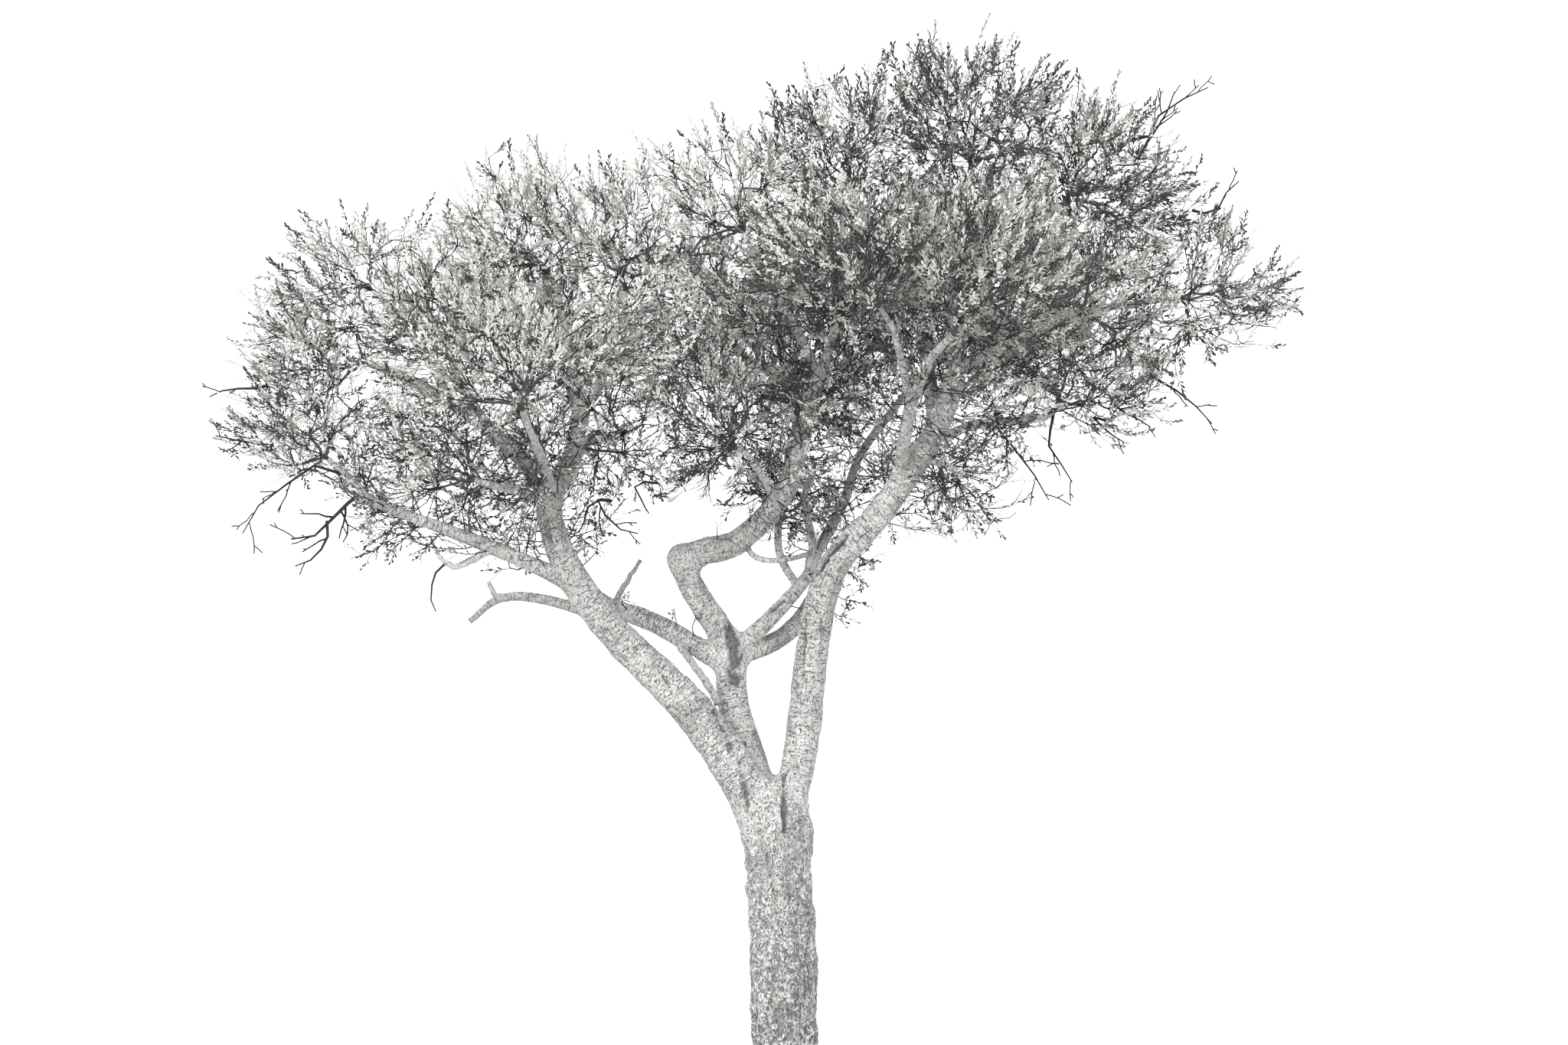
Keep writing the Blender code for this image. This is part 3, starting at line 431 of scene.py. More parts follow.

# Each mass's share of leaf in painted shade is set mass by mass
MASSES = {
    # The left lobe of the crown
    "foliage_left_peak": Mass("left_limb", (-1.84, 0.1, 7.93), (0.59, 0.95, 0.64), [(-2.02, 0.0, 8.52),
        (-1.62, 0.1, 8.47), (-2.26, 0.05, 8.32)], leafiness=0.78, gloom=0.2, crest=0.85),
    "foliage_left_shoulder": Mass("left_shoulder", (-1.14, -0.05, 7.81), (0.48, 0.95, 0.6),
        [(-1.05, -0.05, 8.44), (-1.33, 0.0, 8.38)], leafiness=0.78, gloom=0.2, crest=0.85),
    "foliage_left_top": Mass("left_top", (-3.15, 0.35, 7.68), (0.59, 0.9, 0.44), [(-3.48, 0.25, 8.08),
        (-2.9, 0.3, 8.0), (-3.62, 0.3, 7.8)], leafiness=0.85, gloom=0.34, crest=0.8),
    "foliage_left_tip_mid": Mass("left_upper", (-3.4, 0.1, 7.12), (0.5, 0.9, 0.4), [(-3.82, 0.05, 7.2),
        (-3.84, 0.1, 6.86), (-3.66, 0.0, 7.5)], leafiness=0.9, gloom=0.44, crest=0.5),
    "foliage_left_tip_low": Mass("left_low", (-3.45, -0.55, 6.41), (0.51, 0.8, 0.36),
        [(-4.0, -0.45, 6.45), (-3.86, -0.5, 6.23)], bare_twigs=([(-3.62, -0.6, 6.3),
        (-3.99, -0.6, 6.37)], [(-3.7, -0.75, 6.7), (-4.02, -0.8, 6.62)]), gloom=0.46),
    "foliage_left_under": Mass("left_inner", (-2.34, -0.5, 6.13), (0.58, 0.8, 0.39), leafiness=0.8,
        gloom=0.3),
    "foliage_left_rise": Mass("left_rise", (-2.45, -0.45, 7.17), (0.47, 0.8, 0.54), leafiness=0.74,
        gloom=0.26),
    "foliage_left_hem": Mass("left_hem", (-1.14, -0.45, 6.41), (0.44, 0.8, 0.43),
        bare_twigs=([(-1.32, -0.4, 5.95), (-1.22, -0.4, 5.77), (-1.04, -0.4, 5.7)],
        [(-1.34, -0.42, 5.95), (-1.42, -0.4, 5.8), (-1.46, -0.4, 5.7)], [(-1.05, -0.4, 6.05),
        (-0.98, -0.38, 5.86)]), leafiness=0.6, gloom=0.36),
    "foliage_left_front": Mass("left_front", (-1.91, -1.75, 6.74), (0.7, 0.8, 0.5), leafiness=0.72,
        gloom=0.24),
    "foliage_left_back": Mass("left_back", (-2.15, 1.8, 7.38), (0.85, 0.9, 0.6), leafiness=0.7,
        gloom=0.34),
    # The middle of the crown
    "foliage_centre_top": Mass("centre_top", (-0.45, -0.2, 8.12), (0.52, 0.95, 0.52),
        [(-0.53, -0.2, 8.78), (-0.83, -0.15, 8.52)], leafiness=0.82, gloom=0.2, crest=0.85),
    "foliage_centre_mid": Mass("centre_mid", (-0.56, 0.4, 7.31), (0.54, 0.9, 0.47), leafiness=0.8,
        gloom=0.12),
    "foliage_centre_low": Mass("centre_low", (-0.52, -0.5, 6.38), (0.46, 0.8, 0.39),
        [(-0.72, -0.5, 6.02)], leafiness=0.95, gloom=0.54),
    "foliage_right_heart": Mass("sinuous_high", (0.4, 0.0, 7.39), (0.48, 0.8, 0.47), gloom=0.6),
    "foliage_front_centre": Mass("front_centre", (0.41, -1.7, 7.5), (0.63, 0.85, 0.55), gloom=0.6),
    "foliage_back_centre": Mass("back_centre", (0.25, 1.75, 7.31), (0.74, 0.85, 0.69), gloom=0.46),
    # The right lobe of the crown
    "foliage_crown_top": Mass("right_limb", (1.36, 0.0, 8.72), (0.61, 1.05, 0.69), [(1.45, 0.0, 9.46),
        (1.66, 0.05, 9.26), (1.05, 0.0, 9.2)], leafiness=0.92, gloom=0.7, crest=1.2),
    "foliage_crown_left": Mass("crown_left", (0.37, 0.1, 8.54), (0.56, 1.05, 0.58), [(0.66, 0.1, 9.05),
        (0.35, 0.05, 8.98), (-0.03, 0.1, 8.82)], leafiness=0.7, gloom=0.62, crest=0.85),
    "foliage_right_top": Mass("right_top", (2.26, 0.1, 8.34), (0.61, 1.0, 0.61), [(2.48, 0.05, 8.84),
        (2.12, 0.05, 8.98)], bare_twigs=([(2.54, 0.05, 8.53), (2.67, 0.05, 8.75), (3.02, 0.05, 8.95)],
        [(2.56, 0.05, 8.5), (2.65, 0.05, 8.67), (2.78, 0.05, 8.92)], [(3.03, 0.1, 8.04),
        (3.14, 0.1, 8.17), (3.24, 0.1, 8.28)]), gloom=0.62, crest=0.85),
    "foliage_right_centre": Mass("right_centre", (1.4, -0.2, 7.64), (0.49, 0.8, 0.41), gloom=0.38),
    "foliage_right_mid": Mass("right_mid", (2.26, -0.3, 7.32), (0.5, 0.9, 0.41), gloom=0.38),
    "foliage_right_tip": Mass("right_tip", (3.07, 0.05, 7.45), (0.54, 0.7, 0.4), [(3.58, 0.05, 7.67),
        (3.26, 0.05, 7.9), (3.42, 0.0, 7.3)], gloom=0.52, crest=0.4),
    "foliage_right_low": Mass("right_low", (2.13, 0.75, 6.85), (0.68, 0.85, 0.35), [(2.84, 0.7, 6.62)],
        bare_twigs=([(1.55, 0.75, 6.52), (1.76, 0.75, 6.29), (1.9, 0.75, 6.05)], [(1.92, 0.75, 6.44),
        (2.07, 0.75, 6.18)], [(2.57, 0.7, 7.0), (2.84, 0.7, 6.83), (3.08, 0.7, 6.6)],
        [(2.35, 0.75, 6.75), (2.64, 0.75, 6.58)], [(2.2, 0.4, 6.6), (2.42, 0.3, 6.42)]), leafiness=0.95),
    "foliage_right_hem": Mass("right_hem", (1.16, -0.55, 5.98), (0.33, 0.5, 0.28), gloom=0.5),
    "foliage_right_front": Mass("right_front", (1.48, -1.75, 7.29), (0.65, 0.85, 0.55), gloom=0.46),
    "foliage_back_right": Mass("back_right", (1.56, 1.85, 7.61), (0.83, 0.9, 0.63), leafiness=0.95,
        gloom=0.34),
}
# Where the crown is fuller than its round masses: the middle and the half widths of each place
FULLER_PLACES = (
    ((1.35, 0.0, 8.28), (0.75, 0.8, 0.34)),
    ((-2.95, -0.3, 6.52), (0.58, 0.6, 0.42)),
    ((2.8, 0.05, 7.82), (0.42, 0.55, 0.38)),
    ((3.1, 0.05, 7.45), (0.38, 0.5, 0.22)),
    ((2.1, 0.35, 6.86), (0.5, 0.7, 0.32)),
    ((1.25, -0.45, 6.02), (0.44, 0.5, 0.32)),
    ((-0.78, -0.45, 6.32), (0.4, 0.55, 0.36)),
    ((-3.0, -0.2, 6.55), (0.42, 0.6, 0.34)),
    ((-2.35, -0.4, 5.98), (0.55, 0.6, 0.26)),
    ((-1.25, 0.2, 6.55), (0.5, 0.7, 0.38)),
    ((0.05, 0.0, 6.6), (0.5, 0.8, 0.38)),
    ((1.4, 0.0, 6.9), (0.48, 0.7, 0.34)),
    ((-2.2, -0.95, 6.95), (0.6, 0.45, 0.45)),
    ((0.95, -0.95, 7.6), (0.8, 0.45, 0.5)),
    ((-0.8, -1.15, 7.1), (0.5, 0.55, 0.4)),
    ((-0.9, 1.25, 7.35), (0.55, 0.75, 0.48)),
)

# Snapped-off sticks on the limbs: the course, which starts inside the limb, the radii at its
# ends and the state
STICKS = (
    ([(-0.48, -0.08, 4.52), (-0.58, -0.02, 4.7), (-0.74, 0.08, 4.92), (-0.78, 0.12, 5.02)], 0.03, 0.024,
        State.DEAD),
    ([(-1.24, 0.27, 5.22), (-1.16, 0.26, 5.38), (-1.04, 0.25, 5.57)], 0.024, 0.014, State.DEAD),
    ([(-1.55, -0.24, 5.53), (-1.48, -0.24, 5.58), (-1.41, -0.26, 5.64)], 0.016, 0.01, State.DEAD),
    ([(-1.95, -0.37, 5.25), (-2.04, -0.4, 5.26), (-2.09, -0.42, 5.36)], 0.027, 0.016, State.DEAD),
    ([(0.17, 0.26, 6.1), (0.2, 0.25, 6.22), (0.19, 0.24, 6.32)], 0.02, 0.009, State.DEAD),
    ([(-2.04, -0.47, 5.6), (-2.18, -0.5, 5.52), (-2.3, -0.5, 5.46), (-2.39, -0.5, 5.48)], 0.032, 0.018,
        State.LIVE),
    ([(-2.34, -0.5, 5.46), (-2.43, -0.5, 5.53), (-2.5, -0.5, 5.68)], 0.017, 0.008, State.LIVE),
    ([(1.03, -0.1, 6.98), (0.97, -0.18, 7.22), (0.99, -0.2, 7.45)], 0.036, 0.016, State.LIVE),
    ([(1.1, -0.28, 6.75), (1.2, -0.4, 6.95), (1.24, -0.44, 7.16)], 0.03, 0.014, State.LIVE),
    ([(1.2, -0.25, 7.05), (1.12, -0.36, 7.3), (1.16, -0.38, 7.44)], 0.032, 0.015, State.LIVE),
    ([(1.24, -0.25, 7.1), (1.36, -0.34, 7.24), (1.49, -0.38, 7.3)], 0.028, 0.012, State.LIVE),
)

# Bare forked twigs on the limbs: the course, which starts inside the limb, the length clear of
# prongs and the radii at its ends
DRY_TWIGS = (
    ([(-2.94, -0.62, 5.99), (-3.12, -0.62, 5.85), (-3.22, -0.62, 5.76), (-3.32, -0.62, 5.65),
        (-3.46, -0.62, 5.64)], 0.1, 0.019, 0.007),
    ([(-3.21, -0.62, 5.77), (-3.21, -0.63, 5.62), (-3.32, -0.62, 5.5), (-3.43, -0.61, 5.45)], 0.06,
        0.014, 0.006),
    ([(-3.12, -0.62, 5.85), (-3.06, -0.6, 5.72), (-3.1, -0.59, 5.62)], 0.04, 0.01, 0.005),
    ([(-3.05, -0.62, 6.08), (-3.26, -0.64, 6.14), (-3.67, -0.62, 5.92), (-3.8, -0.6, 5.68)], 0.2, 0.014,
        0.005),
    ([(-2.38, -0.5, 5.49), (-2.47, -0.52, 5.4), (-2.49, -0.54, 5.27), (-2.45, -0.54, 5.14)], 0.45, 0.011,
        0.005),
)

# Rows of leafy sprays on the limbs
SPRAYS = [SprayRow(*row) for row in (
    ("left_low", 0.15, 1.0, 26, (0.25, 0.55), (0.0, 0.1, 0.6)),
    ("left_low", 0.6, 1.0, 8, (0.2, 0.4), (-0.2, 0.0, -0.4)),
    ("left_limb", 0.54, 0.9, 13, (0.3, 0.6), (-0.4, 0.6, 0.2)),
    ("left_upper", 0.1, 0.8, 16, (0.3, 0.6), (0.0, 0.2, -0.2)),
    ("left_inner", 0.2, 1.0, 8, (0.25, 0.5), (0.0, 0.0, 0.1)),
    ("left_front", 0.3, 1.0, 10, (0.3, 0.6), (0.0, 0.0, 0.0)),
    ("left_hem", 0.2, 1.0, 5, (0.25, 0.5), (0.0, 0.0, -0.2)),
    ("left_back", 0.55, 1.0, 16, (0.3, 0.6), (0.0, 0.2, 0.1)),
    ("sinuous_high", 0.42, 1.0, 22, (0.25, 0.5), (0.0, 1.2, 0.0)),
    ("centre_low", 0.0, 1.0, 10, (0.25, 0.5), (0.0, 0.0, -0.2)),
    ("centre_mid", 0.0, 1.0, 12, (0.3, 0.55), (0.0, 0.2, -0.1)),
    ("broken_stem", 0.5, 1.0, 14, (0.25, 0.5), (0.0, 0.8, 0.3)),
    ("back_centre", 0.3, 1.0, 24, (0.3, 0.6), (0.0, 0.1, 0.0)),
    ("back_right", 0.3, 1.0, 24, (0.3, 0.6), (0.1, 0.0, 0.0)),
    ("crown_left", 0.0, 0.6, 12, (0.3, 0.6), (-0.2, 0.0, -0.1)),
    ("right_limb", 0.5, 0.92, 26, (0.3, 0.6), (0.4, 0.9, 0.0)),
    ("right_front", 0.3, 1.0, 16, (0.3, 0.6), (0.1, 0.0, -0.1)),
    ("right_low", 0.35, 1.0, 26, (0.25, 0.55), (0.2, 0.0, 0.0)),
    ("right_hem", 0.1, 1.0, 12, (0.25, 0.45), (0.3, 0.0, -0.3)),
    ("right_mid", 0.0, 0.9, 12, (0.3, 0.55), (0.1, 0.0, -0.3)),
    # short ones low on the bare limbs
    ("left_back", 0.1, 0.3, 3, (0.14, 0.22), (0.0, -0.5, 0.5)),
    ("right_limb", 0.3, 0.45, 4, (0.12, 0.25), (0.5, -0.2, 0.1), 0.0),
    ("broken_stem", 0.3, 0.6, 3, (0.12, 0.25), (-0.2, -0.2, 0.2), 0.0),
    ("sinuous_high", 0.1, 0.35, 2, (0.12, 0.25), (0.0, -0.2, 0.5), 0.0),
    ("right_low", 0.25, 0.38, 4, (0.22, 0.36), (0.4, -0.3, -0.5), 1.0),
)]


# ---- numbers and noise
def lengths_of(ways: Array) -> Array:
    """The length of each row of a stack of vectors."""
    return np.sqrt((ways * ways).sum(-1))


def unit(ways: Array) -> Array:
    """The same ways, each with a length of one."""
    return ways / np.maximum(lengths_of(ways), 1e-9)[..., None]


def share_between(values: Array, low: float, high: float) -> Array:
    """The share of the way from low to high, kept between 0 and 1."""
    return np.clip((values - low) / (high - low), 0, 1)


def eased(values: Array, low: float, high: float) -> Array:
    """A smooth step from 0 at the low value to 1 at the high one."""
    share = share_between(values, low, high)
    return share * share * (3 - 2 * share)


def dealt(cells: Array, seed: int) -> Array:
    """A number from 0 to 1 for each cell of a grid, the same on every run.

    Args:
        cells: whole numbers, as rows.
        seed: which deal to take.

    Returns:
        One number for each row.
    """
    mixed = cells[..., 0] * 374761393 + cells[..., 1] * 668265263
    mixed = mixed + cells[..., 2] * 2147483647 + seed * 1274126177
    mixed = (mixed ^ (mixed >> 13)) * 1274126177
    mixed = mixed ^ (mixed >> 16)
    return (mixed & 0xFFFFFF) / float(0x1000000)


def waves(points: Array, seed: int) -> Array:
    """Smooth noise from -1 to 1 that changes over about one unit.

    Args:
        points: places, as rows.
        seed: which noise to take.

    Returns:
        The noise at each place.
    """
    cells = np.floor(points).astype(np.int64)
    local = points - cells
    fade = local**3 * (local * (local * 6 - 15) + 10)
    total = np.zeros(len(points))
    for corner in itertools.product((0, 1), repeat=3):
        weight = np.where(corner, fade, 1 - fade).prod(1)
        total += weight * dealt(cells + corner, seed)
    return 2 * total - 1


def plates(points: Array, seed: int) -> Array:
    """Noise of plates with grooves between them: 0 in a groove, more towards a plate's middle.

    Args:
        points: places, as rows, a plate being about one unit wide.
        seed: which plates to take.

    Returns:
        How far the second nearest plate's middle is beyond the nearest one's.
    """
    cells = np.floor(points).astype(np.int64)
    nearest = np.full(len(points), FAR)
    second = nearest.copy()
    for step in itertools.product((-1, 0, 1), repeat=3):
        cell = cells + step
        middle = cell + np.stack([dealt(cell, seed + k) for k in range(3)], axis=1)
        gap = lengths_of(points - middle)
        second = np.minimum(second, np.maximum(nearest, gap))
        nearest = np.minimum(nearest, gap)
    return second - nearest


# ---- routes
def way_along(points: Array) -> Array:
    """How far along a route each of its points lies."""
    return np.concatenate([[0.0], np.cumsum(lengths_of(np.diff(points, axis=0)))])


def points_at(points: Array, shares: Array) -> Array:
    """The points that lie at the given shares of a route's length."""
    way = way_along(points)
    return np.stack([np.interp(shares * way[-1], way, axis) for axis in points.T], axis=1)


def smooth_route(points: list[Triple] | Array, step: float) -> Array:
    """Points about a step apart on a smooth line through the given ones.

    Args:
        points: what the line passes through.
        step: distance between the points that are returned.

    Returns:
        The points, evenly spaced, the first and last as given.
    """
    knots = np.asarray(points, float)
    knots = np.vstack([2 * knots[0] - knots[1], knots, 2 * knots[-1] - knots[-2]])
    t = np.arange(SPLINE_STEPS)[:, None] / SPLINE_STEPS
    spans = []
    for a, b, c, d in zip(knots, knots[1:], knots[2:], knots[3:]):
        bend = (2 * a - 5 * b + 4 * c - d) * t**2 + (3 * b - a - 3 * c + d) * t**3
        spans.append((2 * b + (c - a) * t + bend) / 2)
    fine = np.vstack([*spans, knots[-2]])
    count = max(2, round(way_along(fine)[-1] / step))
    return points_at(fine, np.linspace(0, 1, count + 1))


def limb_route(name: str, step: float) -> Array:
    """The points along a limb, from inside what carries it to its tip.

    Args:
        name: the limb.
        step: the distance between two points.

    Returns:
        The points, evenly spaced.
    """
    limb = LIMBS[name]
    start = np.array(FORK_START)
    if limb.carrier != "trunk":
        start = points_at(limb_route(limb.carrier, RING_STEP), np.array([limb.share]))[0]
    return smooth_route([tuple(start), *limb.course], step)


def limb_radii(name: str, count: int) -> Array:
    """A limb's radius at each of its evenly spaced points."""
    limb = LIMBS[name]
    return limb.root - (limb.root - limb.tip) * np.linspace(0, 1, count) ** limb.lateness


def fork_limb(name: str) -> str:
    """Which of the fork's limbs a limb belongs to."""
    carrier = LIMBS[name].carrier
    return name if carrier == "trunk" else fork_limb(carrier)


# ---- meshes from arrays
@dataclass
class Facets:
    """Points and faces gathered for one mesh."""

    points: list[Array] = field(default_factory=list)
    corners: list[Array] = field(default_factory=list)
    sizes: list[Array] = field(default_factory=list)
    tints: list[Array] = field(default_factory=list)
    count: int = 0

    def add(self, points: Array, faces: list[Array], tints: list[Array]) -> None:
        """Adds points, and faces that number them from 0.

        Args:
            points: places, as rows.
            faces: blocks of faces, those of one block having as many corners each.
            tints: for each block, the material of each of its faces.
        """
        self.points.append(points.reshape(-1, 3))
        for block, tint in zip(faces, tints):
            self.corners.append((block + self.count).ravel())
            self.sizes.append(np.full(len(block), block.shape[1]))
            self.tints.append(np.broadcast_to(tint, len(block)))
        self.count += len(self.points[-1])

    def mesh(self, name: str, smooth: bool) -> Mesh:
        """The mesh of all that was added.

        Args:
            name: its name.
            smooth: whether it is shaded smooth.

        Returns:
            The mesh.
        """
        mesh = bpy.data.meshes.new(name)
        points = np.concatenate(self.points)
        corners = np.concatenate(self.corners)
        sizes = np.concatenate(self.sizes)
        mesh.vertices.add(len(points))
        mesh.vertices.foreach_set("co", points.astype(np.float32).ravel())
        mesh.loops.add(len(corners))
        mesh.loops.foreach_set("vertex_index", corners.astype(np.int32))
        mesh.polygons.add(len(sizes))
        starts = np.concatenate([[0], np.cumsum(sizes)[:-1]])
        mesh.polygons.foreach_set("loop_start", starts.astype(np.int32))
        mesh.polygons.foreach_set("material_index", np.concatenate(self.tints).astype(np.int32))
        mesh.update(calc_edges=True)
        mesh.validate()
        mesh.polygons.foreach_set("use_smooth", np.full(len(sizes), smooth))
        return mesh


def new_object(data: bpy.types.ID, materials: list[Material]) -> Object:
    """An object of its data's name, with the materials in order.

    Args:
        data: its mesh, or a camera or a light.
        materials: what it is made of.

    Returns:
        The object, in the scene.
    """
    obj = bpy.data.objects.new(data.name, data)
    bpy.context.scene.collection.objects.link(obj)
    for material in materials:
        data.materials.append(material)
    return obj


def new_piece(mesh: Mesh, finishes: list[Material]) -> Object:
    """Adds one piece to the tree and reports it.

    Args:
        mesh: its mesh.
        finishes: its materials.

    Returns:
        The piece.
    """
    piece = new_object(mesh, finishes)
    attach(piece, BODY)
    LOG.info("%s: %d faces", piece.name, len(mesh.polygons))
    return piece


def sweep(lines: Array, radii: Array, sides: int) -> tuple[Array, list[Array]]:
    """Closed tubes along lines that have as many points each.

    Args:
        lines: points by tube and place along it.
        radii: radii by tube and place along it.
        sides: how many sides a tube has.

    Returns:
        The points, and a block of the sides' faces and one of the end caps' faces.
    """
    tubes, rings = radii.shape
    tangents = unit(np.gradient(lines, axis=1))
    middle = unit(tangents.mean(1))
    lean = np.where(np.abs(middle[:, 2:]) < STEEP, UP, ACROSS)[:, None]
    across = unit(np.cross(tangents, lean))
    other = np.cross(tangents, across)
    angles = np.arange(sides) * 2 * math.pi / sides
    wheel = np.cos(angles)[:, None] * across[..., None, :]
    wheel += np.sin(angles)[:, None] * other[..., None, :]
    points = lines[..., None, :] + wheel * radii[..., None, None]
    first = np.arange(tubes)[:, None, None] * rings * sides
    low = first + np.arange(rings - 1)[:, None] * sides + np.arange(sides)
    after = first + np.arange(rings - 1)[:, None] * sides + (np.arange(sides) + 1) % sides
    walls = np.stack([low, after, after + sides, low + sides], axis=-1).reshape(-1, 4)
    fan = np.array([[0, k + 2, k + 1] for k in range(sides - 2)])
    starts = first + fan
    ends = first + (rings - 1) * sides + fan[:, ::-1]
    return points, [walls, np.concatenate([starts.reshape(-1, 3), ends.reshape(-1, 3)])]


# ---- the wood's rule
@dataclass
class Core:
    """A limb's centre line, with what the rule of the bark needs along it."""

    name: str
    line: Array
    radii: Array
    seed: int

    def __post_init__(self) -> None:
        """Works out the line's steps, and two sides of it that don't twist."""
        self.ways = np.diff(self.line, axis=0)
        self.starts = way_along(self.line)[:-1]
        self.steps = lengths_of(self.ways)
        side = np.cross(self.ways[0], UP if abs(unit(self.ways[0])[2]) < STEEP else ACROSS)
        sides = []
        for way in unit(self.ways):
            side = unit(side - way * (side @ way))
            sides.append(side)
        self.sides = np.array(sides)
        self.others = np.cross(unit(self.ways), self.sides)
        self.melt = float(np.clip(MELT_SHARE * self.radii[0], *MELT_LIMITS))
        self.plate = PLATE_WIDTHS[0] + (PLATE_WIDTHS[1] - PLATE_WIDTHS[0]) * self.girth()
        reach = self.radii.max() + self.melt + NEAR
        self.box = self.line.min(0) - reach, self.line.max(0) + reach

    def girth(self) -> float:
        """How thick the limb is at its root, as a share of the trunk."""
        return min(1.0, self.radii[0] / TRUNK_RADIUS)

    def near(self, points: Array) -> Array:
        """Which points may be at the limb's surface or where it melts into another."""
        low, high = self.box
        return np.flatnonzero(((points > low) & (points < high)).all(1))

    def read(self, points: Array) -> tuple[Array, Array, Array, Array]:
        """Where points lie, as the limb sees them.

        Args:
            points: places, as rows.

        Returns:
            Their distance outside the smooth limb, the way out, their place along the grain as
            two numbers across the limb and one along it, and the limb's radius there.
        """
        dots = points @ self.ways.T - (self.line[:-1] * self.ways).sum(1)
        share = np.clip(dots / self.steps**2, 0, 1)
        squares = (points**2).sum(1)[:, None] - 2 * points @ self.line[:-1].T
        squares += (self.line[:-1] ** 2).sum(1) + share * (share * self.steps**2 - 2 * dots)
        step = squares.argmin(1)
        share = share[np.arange(len(points)), step]
        gap = points - self.line[step] - self.ways[step] * share[:, None]
        radius = self.radii[step] + (self.radii[step + 1] - self.radii[step]) * share
        across = (gap * self.sides[step]).sum(1), (gap * self.others[step]).sum(1)
        grain = np.stack([*across, self.starts[step] + self.steps[step] * share], axis=1)
        return lengths_of(gap) - radius, unit(gap), grain, radius

    def age(self, grain: Array, radius: Array) -> Array:
        """How old and rough the bark is, from 0 to 1."""
        return LIMB_AGE * np.clip(radius / TRUNK_RADIUS, YOUNGEST, 1.0)

    def bark(self, grain: Array, radius: Array) -> tuple[Array, Array]:
        """How far the bark stands out, and the painted shade of its grooves, cracks and pits.

        Args:
            grain: places along the grain.
            radius: the limb's radius there.

        Returns:
            The height in metres, and the painted shade of the grooves, cracks and pits, from 0 to 1.
        """
        age = self.age(grain, radius)
        bend = np.stack([waves(grain / WARP_SIZE, self.seed + 20 + k) for k in range(3)], axis=1)
        bent = grain + bend * WARP
        plate = self.plate * np.array([1, 1, PLATE_STRETCH])
        edge = eased(plates(bent / plate, self.seed), *PLATE_EDGE)
        pit = eased(waves(bent / PIT_SIZE, self.seed + 13), *PIT_EDGE)
        patchy = 1 - PATCHINESS + PATCHINESS * waves(grain / np.array(PATCHES), self.seed + 11)
        crack = eased(1 - np.abs(waves(bent / np.array(CRACKS), self.seed + 7)), *CRACK_EDGE)
        crack *= eased(waves(grain / np.array(PATCHES), self.seed + 5), *CRACKED_PATCH)
        flute = waves(grain / np.array(FLUTES), self.seed + 3)
        lump = waves(grain / LUMP, self.seed + 9)
        height = PLATE_DEPTH * (edge - PLATE_SUNK) * patchy - CRACK_DEPTH * crack
        height = (height - PIT_DEPTH * (pit - PIT_RAISED)) * age
        height += radius * (FLUTE_SHARE * flute + LUMP_SHARE * lump)
        # Painted shade: the grooves between plates, the cracks and the pits darken the bark's colour by
        # this value
        cavity = GROOVE_SHADE * (1 - edge) * patchy + CRACK_SHADE * crack + pit * patchy
        return height, np.clip(cavity, 0, 1)


@dataclass
class TrunkCore(Core):
    """The trunk, whose outline is the plan's waved ovals and not round."""

    def __post_init__(self) -> None:
        """Takes the plan's rings as arrays."""
        super().__post_init__()
        self.rings = np.array(TRUNK)

    def outline(self, height: Array, angle: Array) -> tuple[Array, Array, Array]:
        """The trunk's middle and its half widths at the given heights and angles.

        Args:
            height: heights.
            angle: angles round the trunk.

        Returns:
            The middle's x, and the half widths along x and y.
        """
        heights = self.rings[:, 0]
        rows = (np.interp(height, heights, row) for row in self.rings[:, 1:].T)
        centre, half_x, half_y, lobe = rows
        swell = 1 + lobe * np.cos(ROOT_LOBES * angle + LOBE_TURN)
        return centre, half_x * swell, half_y * swell

    def lift(self, height: Array) -> Array:
        """How far up the round top between the fork's limbs a height is, from 0 to 1."""
        return np.maximum(height - FORK_FILL[0], 0) / FORK_FILL[1]

    def read(self, points: Array) -> tuple[Array, Array, Array, Array]:
        """Where points lie, as the trunk sees them. See Core.read.

        Args:
            points: places, as rows.

        Returns:
            What Core.read gives.
        """
        x, y, z = points.T
        centre = np.interp(z, self.rings[:, 0], self.rings[:, 1])
        angle = np.arctan2(y, x - centre)
        centre, half_x, half_y = self.outline(z, angle)
        lift = self.lift(z)
        half_y = half_y * (1 + FORK_WIDENING * np.minimum(lift, 1) ** 2)
        radius = (half_x + half_y) / 2
        out = np.stack([(x - centre) / half_x, y / half_y, lift], axis=1)
        level = (lengths_of(out) - 1) * radius
        outward = unit(np.stack([x - centre, y, lift * radius**2 / FORK_FILL[1]], axis=1))
        past = -z > level
        level = np.where(past, -z, level)
        outward = np.where(past[:, None], -UP, outward)
        return level, outward, np.stack([x - centre, y, z], axis=1), radius

    def age(self, grain: Array, radius: Array) -> Array:
        """The bark is oldest at the foot."""
        return 1 - (1 - OLD_TOP) * np.clip(grain[:, 2] / self.rings[-1, 0], 0, 1)

    def bark(self, grain: Array, radius: Array) -> tuple[Array, Array]:
        """How far the bark stands out, and the painted shade of its grooves, cracks and pits. See
        Core.bark.

        Args:
            grain: places along the grain.
            radius: the trunk's radius there.

        Returns:
            What Core.bark gives.
        """
        height, cavity = super().bark(grain, radius)
        age = self.age(grain, radius)
        height = TRUNK_RELIEF * height * eased(grain[:, 2], 0.0, FLAT_FOOT)
        # The painted shade in the grooves is stronger on the old bark low on the trunk
        return height, np.clip(cavity * (TRUNK_SHADE + age), 0, 1)


@dataclass
class Reading:
    """What the wood's rule says at some points."""

    level: Array  # distance outside the surface
    outward: Array
    owner: Array  # which core is nearest
    height: Array  # how far the bark stands out
    cavity: Array  # painted shade: how deep in the bark's grooves, cracks, pits and splits it lies
    age: Array  # how old and rough the bark is
    purity: Array  # 0 where the wood is half of one core and half of another
    grain: Array  # the place along the nearest core's grain


